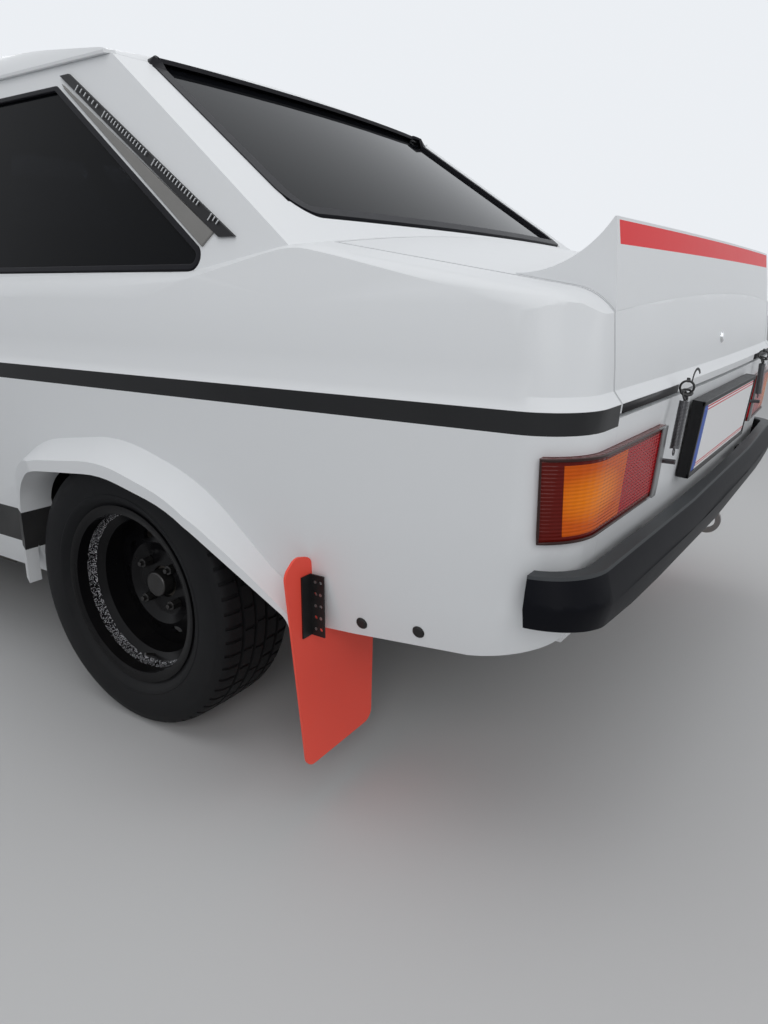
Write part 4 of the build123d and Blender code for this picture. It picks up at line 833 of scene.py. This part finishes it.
def grit_band(tree):
    radius, outer = wheel_radius(tree)
    cells = joined(tree, "ShaderNodeTexVoronoi", {"Vector": shaded_place(tree), "Scale": 420.0})
    bright = maths(tree, "LESS_THAN", cells.outputs["Distance"], 0.33)
    return times(tree, maths(tree, "COMPARE", radius, grit_radius, grit_half_band),
                 maths(tree, "COMPARE", outer, grit_out, grit_half_depth), bright)


rim_black = finish("rim_black", (0.003, 0.003, 0.004), 0.008, 0.22, grain=300.0, bump=0.05, patch=0.4,
                   dust=0.02, spread=0.1, zones=((grit_band, (0.80, 0.80, 0.84)),), gloss=0.14)
nut_steel = finish("nut_steel", (0.02, 0.02, 0.022), 0.08, 0.3, grain=600.0, patch=0.6, scale=60.0, dust=0.15,
                   metal=0.8)
tyre_rubber = finish("tyre_rubber", (0.006, 0.0065, 0.008), (0.014, 0.0145, 0.016), 0.55, bump=0.2,
                     scale=18.0, dust=0.03, spread=0.2, gloss=0.12)


def turned(name, points, centre, axis, steps):
    """Turns a traced line once round an axis and closes it."""
    piece = traced(name, points)
    with editing(piece):
        bpy.ops.mesh.spin(steps=steps, angle=math.tau, center=centre, axis=axis)
        bpy.ops.mesh.select_all(action="SELECT")
        bpy.ops.mesh.remove_doubles(threshold=0.00001)
        bpy.ops.mesh.normals_make_consistent(inside=False)
    return piece


def tread_place(face):
    """Distance out, radius and step number of a face of the tyre."""
    away = face.center - axle_point
    step = int(math.degrees(math.atan2(away.y, away.z)) % 360 / (360 / tyre_steps))
    return abs(away.x), math.hypot(away.y, away.z), step


def notch_row(near, far, least_radius, every, first):
    """Test that picks the faces of one row of notches."""
    def test(face):
        out, radius, step = tread_place(face)
        return near < out < far and radius > least_radius and step % every == first
    return test


axle_point = Vector((wheel_x, rear_axle_y, wheel_z))
outer_half = [axle_point + Vector((out, 0, radius)) for out, radius in TYRE_HALF]
inner_half = [axle_point + Vector((-out, 0, radius)) for out, radius in TYRE_HALF[1:]]
first_tyre = turned("first_tyre", inner_half[::-1] + outer_half, axle_point, (1, 0, 0), tyre_steps)
for *row, left in NOTCHES:
    picked(first_tyre, "FACE", notch_row(*row))
    with editing(first_tyre, None):
        bpy.ops.mesh.extrude_region_move()
        bpy.ops.transform.resize(value=(1, left, left), center_override=axle_point)
smoothed(first_tyre, 38)
for wheel_name, side, axle_y in WHEELS:
    body_name = "wheel_" + wheel_name
    tyre = first_tyre.copy()
    tyre.data = first_tyre.data.copy()
    bpy.context.collection.objects.link(tyre)
    tyre.name = "tyre_" + wheel_name + "_tread"
    tyre.data.transform(Matrix.Translation((side * wheel_x - wheel_x, axle_y - rear_axle_y, 0)))
    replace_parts(settled(tyre, body_name, tyre_rubber), "tyre_" + wheel_name)
    skin("rim_" + wheel_name, "_disc", 34, body_name, rim_black)
    hub, outward = Vector((side * wheel_x, axle_y, wheel_z)), Vector((side, 0, 0))
    fittings = [rod("hub_cap", hub - outward * 0.012, hub + outward * 0.016, 0.029, 32, 0.004, 0.92)]
    for index in range(4):
        turn = math.radians(45 + 90 * index)
        nut_at = hub + Vector((0, math.cos(turn), math.sin(turn))) * nut_circle
        fittings += [rod("wheel_nut", nut_at - outward * 0.008, nut_at + outward * 0.014, 0.0112, 6, 0.0015, 0.94),
                     rod("wheel_stud", nut_at + outward * 0.012, nut_at + outward * 0.0215, 0.0052, 12, 0.001)]
    valve = hub + Vector((0, 0, -valve_circle)) + outward * 0.03
    fittings.append(rod("tyre_valve", valve, valve + outward * 0.026 + Vector((0, 0, 0.012)), 0.0032, 10, 0.0008))
    settled(merged(fittings, "wheel_fittings_" + wheel_name), body_name, nut_steel)
bpy.data.objects.remove(first_tyre)

# Mud flaps: sheets of coral red polyurethane behind the rear wheels, their lower corners rounded. Each
# hangs from a perforated black angle bracket, held to flap and body by pan-head screws.
flap_red = finish("flap_red", (0.93, 0.092, 0.058), (0.86, 0.070, 0.045), 0.42, grain=500.0, bump=0.06,
                  scale=6.0, dust=0.06, spread=0.1, gloss=0.3)
bracket_black = finish("bracket_black", (0.006, 0.006, 0.007), 0.02, 0.4, grain=600.0, scale=50.0, dust=0.06,
                       gloss=0.3)
screw_steel = finish("screw_steel", (0.42, 0.42, 0.43), (0.22, 0.2, 0.18), 0.32, bump=0.08, patch=0.6,
                     scale=120.0, dust=0.1, metal=0.85)
# lowest and highest place of the corners, and how far they are rounded
FLAP_CORNERS = ((0.0, 0.2, 0.02), (0.4, 0.6, 0.011))
screw_x, screw_y, screw_stagger, lowest_screw_z, screw_pitch = 0.7805, 1.5338, 0.005, 0.334, 0.02
screw_sunk, screw_proud = 0.003, 0.0026


def corner_between(low_end, high_end):
    """Test that picks the edges through the flap's thickness between two heights."""
    def test(edge):
        start, stop = (flaps.data.vertices[corner].co for corner in edge.vertices)
        across = abs(stop.y - start.y) > 0.002 and abs(stop.z - start.z) < 0.001 and abs(stop.x - start.x) < 0.001
        return across and low_end < start.z < high_end
    return test


flaps = copied_node("mud_flaps", "mud_flap_sheets")
with editing(flaps):
    bpy.ops.mesh.dissolve_limited(angle_limit=math.radians(0.5))
for low_end, high_end, corner_round in FLAP_CORNERS:
    picked(flaps, "EDGE", corner_between(low_end, high_end))
    with editing(flaps, None):
        bpy.ops.mesh.bevel(offset=corner_round, segments=6)
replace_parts(settled(smoothed(flaps, 40), "root", flap_red), "mud_flaps")
coated(bracket_black, "flap_brackets")
for side_name, side in SIDES:
    screws = []
    for index in range(5):
        stagger = screw_stagger if index % 2 else -screw_stagger
        face_at = Vector((side * screw_x, screw_y + stagger, lowest_screw_z + screw_pitch * index))
        screws.append(rod("bracket_screw", face_at - Vector((side * screw_sunk, 0, 0)),
                          face_at + Vector((side * screw_proud, 0, 0)), 0.0038, 12, 0.0014))
    settled(merged(screws, "bracket_screws_" + side_name), "root", screw_steel)

# Small fittings of the shell: rubber plugs in two old holes behind each rear wheel, a lock button in the
# lid, a lock below each door handle, and the filler cap on the right rear quarter.
rubber_plug = finish("rubber_plug", (0.006, 0.006, 0.007), 0.02, 0.5, grain=900.0, patch=0.4, scale=40.0,
                     dust=0.1, gloss=0.3)
chrome = finish("bright_chrome", (0.78, 0.79, 0.80), (0.6, 0.6, 0.61), 0.12, grain=500.0, bump=0.03,
                patch=0.3, dust=0.06, spread=0.06, metal=0.95)
side_ray_x, PLUG_HOLES, door_lock_y, door_lock_z = 1.2, ((1.6035, 0.355), (1.7075, 0.368)), 0.352, 0.744
lip_lift, slot_half = 0.0006, Vector((0, 0, 0.004))


def on_skin(skin_name, start, direction):
    """Where a ray first meets a skin, and the skin's normal there."""
    met, place, normal, _ = bpy.data.objects[skin_name].ray_cast(Vector(start), Vector(direction))
    if not met:
        raise ValueError("no skin met on " + skin_name)
    return place, normal


def cap(name, met, behind, proud, radius, sides, bevel):
    """Round cap let into a skin where a ray met it."""
    place, normal = met
    return rod(name, place - normal * behind, place + normal * proud, radius, sides, bevel)


def cap_rim(name, met, lift, radius, wire, sides, wire_sides=8):
    place, normal = met
    return ring(name, place + normal * lift, normal, radius, wire, sides, wire_sides)


for side_name, side in SIDES:
    plugs = []
    for plug_y, plug_z in PLUG_HOLES:
        met = on_skin("body_side_" + side_name + "_skin", (side * side_ray_x, plug_y, plug_z), (-side, 0, 0))
        plugs += [cap("plug", met, 0.002, 0.003, 0.0088, 24, 0.0026),
                  cap_rim("plug_lip", met, lip_lift, 0.0088, 0.0013, 24, 6)]
    settled(merged(plugs, "side_plugs_" + side_name), "root", rubber_plug)
    met = on_skin("door_" + side_name + "_skin", (side * side_ray_x, door_lock_y, door_lock_z), (-side, 0, 0))
    slot_at = met[0] + met[1] * 0.004
    door_lock = [cap("door_lock", met, 0.002, 0.004, 0.0105, 24, 0.0016),
                 cap_rim("lock_rim", met, lip_lift, 0.0115, 0.0014, 28),
                 bar("lock_slot", slot_at - slot_half, slot_at + slot_half, 0.0016, 0.0012, met[1], 0.0003, 1)]
    settled(merged(door_lock, "door_lock_" + side_name), "door_" + side_name, chrome)
met = on_skin("boot_lid_skin", (0, 2.3, 0.77), (0, -1, 0))
boot_lock = [cap("lid_button", met, 0.002, 0.004, 0.0095, 24, 0.0018),
             cap_rim("lid_button_rim", met, lip_lift, 0.0105, 0.0014, 28)]
settled(merged(boot_lock, "boot_lock"), "boot_lid", chrome)
met = on_skin("body_side_right_skin", (-side_ray_x, 1.46, 0.80), (1, 0, 0))
filler = [cap("filler_cap", met, 0.004, 0.009, 0.031, 40, 0.003),
          cap_rim("filler_rim", met, 0.001, 0.034, 0.0022, 48)]
settled(merged(filler, "filler_cap"), "root", chrome)

# Front lamps: round sealed headlamps with fluted glass in chrome rings, and amber indicators below the
# bumper. The grille is black plastic between them.
headlamp_x, headlamp_y, headlamp_z, headlamp_radius = 0.548, -1.9600, 0.64, 0.0895


def below_bumper(tree):
    return within(tree, "Z", 0.3, 0.5)


headlamp_glass = lens_material("headlamp_glass", ((below_bumper, (0.80, 0.20, 0.006)),), (0.26, 0.28, 0.30))
front_lamps = smoothed(copied_node("front_lamps", "front_lamp_glasses"), 34)
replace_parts(settled(front_lamps, "root", headlamp_glass), "front_lamps")
for side_name, side in SIDES:
    lamp_middle = Vector((side * headlamp_x, headlamp_y, headlamp_z))
    lamp_ring = ring("headlamp_ring_" + side_name, lamp_middle, -rearward, headlamp_radius, 0.0052, 72, 12)
    settled(lamp_ring, "root", chrome)
grille_black = finish("grille_black", (0.008, 0.008, 0.009), 0.03, 0.42, scale=24.0, dust=0.1, gloss=0.3)
skin("grille", "_bars", 34, "root", grille_black)

# Door mirrors: small black plastic housings on stalks, each with a flat mirror glass let into its rear.
# The stalk is screwed to the door's front corner and swings with it.
mirror_black = finish("mirror_black", (0.007, 0.007, 0.008), 0.02, 0.4, grain=800.0, patch=0.4, scale=30.0,
                      dust=0.08, gloss=0.3)
silvered = finish("silvered_glass", (0.82, 0.84, 0.85), (0.78, 0.8, 0.81), 0.02, grain=300.0, bump=0.0,
                  patch=0.2, scale=8.0, dust=0.03, spread=0.01, metal=1.0)
mirror_rear_y, mirror_border, mirror_wall = -0.565, 0.005, 0.0008
for side_name, side in SIDES:
    node_name, body_name = "door_mirror_" + side_name, "door_" + side_name
    housing = smoothed(copied_node(node_name, "mirror_housing_" + side_name), 34)
    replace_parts(settled(housing, body_name, mirror_black), node_name)
    mirror = copied_node(node_name, "mirror_glass_" + side_name)
    kept_faces(mirror, lambda face: face.normal.y > 0.97 and face.center.y > mirror_rear_y)
    with editing(mirror):
        bpy.ops.mesh.dissolve_limited(angle_limit=math.radians(1))
        bpy.ops.mesh.select_all(action="SELECT")
        bpy.ops.mesh.inset(thickness=mirror_border, use_boundary=True)
        bpy.ops.mesh.select_all(action="INVERT")
        bpy.ops.mesh.delete(type="FACE")
    settled(thickened(mirror, mirror_wall), body_name, silvered)

# Wipers: two black pressed arms on spindles in the scuttle, each with a hinged blade and rubber, parked
# along the foot of the windscreen.
wiper_black = finish("wiper_black", (0.008, 0.008, 0.009), 0.03, 0.4, grain=800.0, scale=60.0, dust=0.1,
                     gloss=0.35)
screen_low, screen_high = Vector((0, -0.9045, 0.840)), Vector((0, -0.2995, 1.345))
screen_out, screen_crown = Vector((0, -0.64, 0.768)), 12.2
blade_share, rubber_lift, bridge_lift, rubber_steps = 0.236, 0.0105, 0.0155, 8
clip_half = Vector((0.014, 0, 0))
WIPERS = (
    # side, spindle, blade's outer and inner end, as distances from the car's middle
    ("left", 0.33, 0.40, -0.01), ("right", -0.14, -0.06, -0.47),
)


def on_screen(x, share, lift):
    """Point off the crowned windscreen, at a share of its rise."""
    on_glass = Vector((x, 0, 0)) + screen_low + (screen_high - screen_low) * share
    return on_glass + screen_out * (lift - x * x / screen_crown)


for side_name, pivot_x, blade_from, blade_to in WIPERS:
    spindle, _ = on_skin("bulkhead_skin", (pivot_x, -0.822, 1.2), (0, 0, -1))
    knuckle, holding = spindle + upright * 0.03, on_screen((blade_from + blade_to) / 2, 0.235, 0.020)
    wiper = [rod("wiper_spindle", spindle - upright * 0.006, knuckle + upright * 0.004, 0.0085, 20, 0.002),
             bar("wiper_arm", knuckle, knuckle.lerp(holding, 0.35), 0.012, 0.006, screen_out, 0.0018),
             bar("wiper_arm_strip", knuckle.lerp(holding, 0.33), holding, 0.0065, 0.0035, screen_out, 0.001),
             bar("wiper_bridge", on_screen(blade_from - 0.06, blade_share, bridge_lift),
                 on_screen(blade_to + 0.06, blade_share, bridge_lift), 0.007, 0.004, screen_out, 0.001),
             bar("wiper_clip", holding - clip_half, holding + clip_half, 0.011, 0.009, screen_out, 0.002)]
    for step in range(rubber_steps):
        x_from = blade_from + (blade_to - blade_from) * step / rubber_steps
        x_to = blade_from + (blade_to - blade_from) * (step + 1.04) / rubber_steps
        wiper.append(bar("wiper_rubber", on_screen(x_from, blade_share, rubber_lift),
                         on_screen(x_to, blade_share, rubber_lift), 0.006, 0.0075, screen_out, 0.0012, 1))
    settled(merged(wiper, "wiper_" + side_name), "root", wiper_black)

# Bucket seats: glass-fibre shells padded with foam and covered in black and dark grey woven cloth. Each
# is remeshed from the hollow shell's form and rounded off, as foam under cloth is.
seat_voxel, seat_smoothing, seat_passes = 0.009, 0.6, 9
weave_tree, given, gives = shader_group("cloth_weave", (("Threads", NUMBER, 900.0),),
                                        (("Height", NUMBER), ("Shade", NUMBER)))
woven = times(weave_tree, wave(weave_tree, given["Threads"], "X"), wave(weave_tree, given["Threads"], "Z"))
fuzz = noise(weave_tree, 300.0, 4.0)
weave_tree.links.new(maths(weave_tree, "ADD", woven, times(weave_tree, fuzz, 0.4)), gives["Height"])
weave_tree.links.new(times(weave_tree, woven, fuzz), gives["Shade"])
seat_cloth = finish("seat_cloth", (0.012, 0.012, 0.014), (0.04, 0.04, 0.045), 0.85, grain=300.0, bump=0.3,
                    scale=14.0, spread=0.1, gloss=0.2, Sheen_Weight=0.25)
cloth_tree = seat_cloth.node_tree
weave = joined(cloth_tree, "ShaderNodeGroup", {"Threads": 260.0}, node_tree=weave_tree)
cloth_tree.links.new(weave.outputs["Height"], relief_of(seat_cloth).inputs["Height"])
cloth_color = cloth_tree.nodes["Principled BSDF"].inputs["Base Color"]
thread_color = blended(cloth_tree, weave.outputs["Shade"], cloth_color.links[0].from_socket, (0.06, 0.06, 0.068))
cloth_tree.links.new(thread_color, cloth_color)
for side_name, side in SIDES:
    seat = copied_node("seats", "seat_" + side_name)
    kept_faces(seat, lambda face: face.center.x * side > 0)
    modified(seat, "REMESH", mode="VOXEL", voxel_size=seat_voxel)
    modified(seat, "SMOOTH", factor=seat_smoothing, iterations=seat_passes)
    bpy.ops.object.shade_smooth()
    settled(seat, "root", seat_cloth)
    if side > 0:
        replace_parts(seat, "seats")

# Cabin: dashboard in black grained vinyl with two round dials, a steering wheel in black leather, and a
# welded tube roll cage sprayed grey.
vinyl = finish("dash_vinyl", (0.010, 0.010, 0.011), (0.025, 0.025, 0.026), 0.55, grain=420.0, bump=0.35,
               scale=12.0, dust=0.12, gloss=0.35)
leather = finish("wheel_leather", 0.010, (0.03, 0.028, 0.026), 0.48, bump=0.3, scale=40.0, gloss=0.4)
cage_grey = finish("cage_paint", (0.30, 0.31, 0.32), (0.22, 0.225, 0.23), 0.38, grain=300.0, bump=0.08,
                   scale=8.0, dust=0.1, spread=0.1)
coated(vinyl, "dashboard")
coated(leather, "steering_wheel")
coated(cage_grey, "roll_cage")
dial_y, dial_z, dial_out, dial_lift = -0.4375, 0.79, Vector((0, 0.966, -0.259)), 0.0012
for dial_name, dial_x in (("speed", 0.40), ("revs", 0.28)):
    dial_at = Vector((dial_x, dial_y, dial_z))
    dial = [ring("dial_bezel", dial_at + dial_out * 0.002, dial_out, 0.045, 0.0035, 48),
            rod("dial_needle_hub", dial_at, dial_at + dial_out * 0.006, 0.006, 16, 0.001)]
    for tick in range(11):
        turn = math.radians(-130 + 26 * tick)
        spoke = Vector((math.sin(turn), 0, math.cos(turn)))
        spoke = spoke - dial_out * spoke.dot(dial_out)
        dial.append(bar("dial_tick", dial_at + spoke * 0.033 + dial_out * dial_lift,
                        dial_at + spoke * 0.041 + dial_out * dial_lift, 0.0016, 0.001, dial_out, 0.0002, 1))
    settled(merged(dial, "dial_marks_" + dial_name), "root", highlight_and_dial_marks)

# Engine: a four-cylinder block and head in dull cast iron, an aluminium rocker cover with its filler cap,
# a round air cleaner on the carburettor, plug leads, and a fan and two pulleys at the front.
engine_iron = finish("engine_iron", (0.028, 0.032, 0.04), (0.06, 0.05, 0.042), 0.55, grain=300.0, bump=0.4,
                     patch=0.6, scale=10.0, dust=0.15, spread=0.2, metal=0.3)
cover_aluminium = finish("cover_aluminium", (0.42, 0.42, 0.43), 0.3, 0.38, grain=400.0, bump=0.2, scale=16.0,
                         dust=0.1, spread=0.15, metal=0.9)
cleaner_black = finish("cleaner_black", (0.012, 0.012, 0.013), 0.03, 0.35, grain=500.0, bump=0.08, patch=0.4,
                       scale=12.0, dust=0.08)
lead_red = finish("plug_leads", (0.30, 0.012, 0.010), (0.2, 0.01, 0.01), 0.45, bump=0.05, patch=0.4,
                  scale=30.0)
engine_front, engine_back = -1.500, -1.045
cylinder_y = [engine_front + 0.085 + 0.095 * index for index in range(4)]
cleaner_x, cleaner_y = -0.105, -1.25
fan_z, crank_z = 0.46, 0.355


def casting(name, x, z, behind_front, ahead_of_back, width, height, bevel, segments=2):
    """Block that lies along the engine."""
    start, stop = Vector((x, engine_front + behind_front, z)), Vector((x, engine_back - ahead_of_back, z))
    return bar(name, start, stop, width, height, upright, bevel, segments)


def standing(name, x, y, low, high, radius, sides, bevel):
    return rod(name, Vector((x, y, low)), Vector((x, y, high)), radius, sides, bevel)


def pulley(name, z, radius):
    return rod(name, Vector((0, engine_front + 0.005, z)), Vector((0, engine_front - 0.018, z)), radius, 36, 0.004)


castings = [casting("sump", 0.0, 0.285, 0.02, 0.05, 0.20, 0.09, 0.02, 3),
            casting("block", 0.0, 0.43, 0.0, 0.0, 0.24, 0.22, 0.014, 3),
            casting("head", 0.01, 0.582, 0.01, 0.02, 0.20, 0.09, 0.01, 3),
            casting("sump_flange", 0.0, 0.328, 0.005, 0.01, 0.235, 0.012, 0.003)]
for port_y in cylinder_y:
    castings.append(rod("exhaust_port", Vector((0.10, port_y, 0.585)), Vector((0.165, port_y, 0.545)), 0.019, 20,
                        0.004))
castings.append(rod("manifold", Vector((0.165, engine_front + 0.07, 0.535)),
                    Vector((0.165, engine_back - 0.08, 0.535)), 0.022, 24, 0.006))
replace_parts(settled(merged(castings, "engine_castings"), "root", engine_iron), "engine_block")
cover = [casting("rocker_cover", 0.045, 0.662, 0.02, 0.03, 0.15, 0.075, 0.018, 4),
         standing("oil_cap", 0.045, engine_front + 0.09, 0.695, 0.722, 0.026, 28, 0.004)]
cover += [casting("cover_rib", 0.005 + 0.02 * index, 0.701, 0.14, 0.07, 0.006, 0.006, 0.0018)
          for index in range(5)]
settled(merged(cover, "rocker_cover"), "root", cover_aluminium)
cleaner = [standing("air_cleaner", cleaner_x, cleaner_y, 0.690, 0.742, 0.082, 48, 0.010),
           standing("cleaner_nut", cleaner_x, cleaner_y, 0.740, 0.755, 0.009, 6, 0.002),
           standing("carburettor", cleaner_x, cleaner_y, 0.560, 0.692, 0.038, 28, 0.006),
           bar("inlet_manifold", Vector((-0.07, -1.36, 0.575)), Vector((-0.07, -1.14, 0.575)), 0.09, 0.045,
               upright, 0.012, 3),
           pulley("fan_pulley", fan_z, 0.052), pulley("crank_pulley", crank_z, 0.062)]
fan_at = Vector((0, engine_front - 0.026, fan_z))
for index in range(5):
    turn = math.radians(18 + 72 * index)
    blade_way = Vector((math.cos(turn), 0, math.sin(turn)))
    cleaner.append(bar("fan_blade", fan_at + blade_way * 0.03, fan_at + blade_way * 0.150, 0.045, 0.003,
                       Vector((blade_way.z * 0.4, -1, -blade_way.x * 0.4)), 0.001))
settled(merged(cleaner, "air_cleaner_and_fan"), "root", cleaner_black)
leads, leads_together = [], Vector((-0.045, engine_front + 0.03, 0.668))
for lead_y in cylinder_y:
    plug_end, lead_bend = Vector((-0.098, lead_y, 0.600)), Vector((-0.045, lead_y, 0.668))
    leads += [rod("plug_cap", plug_end, plug_end.lerp(lead_bend, 0.45), 0.0075, 14, 0.002),
              rod("plug_lead", plug_end.lerp(lead_bend, 0.4), lead_bend, 0.0038, 10, 0.001),
              rod("plug_lead", lead_bend - Vector((0, 0.004, 0)), leads_together, 0.0036, 10, 0.001)]
settled(merged(leads, "plug_leads"), "root", lead_red)

# Underside: floor and inner shell in rubbery black underseal, gearbox and axle in dull cast iron, the
# arms, struts and springs in chassis black, and a mild steel exhaust. It is cut off under the
# floor, because none shows behind the bumper.
underseal = finish("underseal", (0.018, 0.018, 0.019), (0.05, 0.047, 0.043), 0.8, grain=160.0, bump=0.6,
                   patch=0.6, scale=5.0, dust=0.25, spread=0.1, gloss=0.3)
cast_iron = finish("cast_iron", (0.06, 0.058, 0.055), (0.11, 0.08, 0.055), 0.6, grain=300.0, bump=0.4,
                   patch=0.6, scale=10.0, dust=0.3, spread=0.2, metal=0.5)
chassis_black = finish("chassis_black", (0.014, 0.014, 0.015), (0.05, 0.042, 0.035), 0.45, grain=350.0,
                       bump=0.2, scale=14.0, dust=0.25, spread=0.2, gloss=0.4)
exhaust_steel = finish("exhaust_steel", (0.20, 0.19, 0.18), (0.24, 0.13, 0.07), 0.45, grain=350.0, bump=0.2,
                       patch=0.7, scale=9.0, dust=0.3, spread=0.25, metal=0.8)
tow_steel = finish("tow_eye_steel", (0.25, 0.25, 0.26), (0.16, 0.12, 0.09), 0.4, grain=500.0, bump=0.15,
                   patch=0.6, scale=40.0, dust=0.25, spread=0.2, metal=0.7)
coated(underseal, "floor_pan")
coated(cast_iron, "propshaft", "rear_axle")
coated(chassis_black, "front_suspension", "knuckle_left", "knuckle_right")
coated(tow_steel, "tow_eyes")
pipe_end_y, pipe_wall, pipe_bore_depth = 1.80, 0.002, 0.06
pipe = copied_node("exhaust", "exhaust_pipe")
with editing(pipe):
    bpy.ops.mesh.bisect(plane_co=(0, pipe_end_y, 0), plane_no=(0, 1, 0), clear_outer=True, use_fill=True)
picked(pipe, "FACE", lambda face: face.normal.y > 0.98 and face.center.y > pipe_end_y - 0.01)
with editing(pipe, None):
    bpy.ops.mesh.inset(thickness=pipe_wall)
    bpy.ops.mesh.extrude_region_move(TRANSFORM_OT_translate={"value": (0, -pipe_bore_depth, 0)})
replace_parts(settled(smoothed(pipe, 40), "root", exhaust_steel), "exhaust")
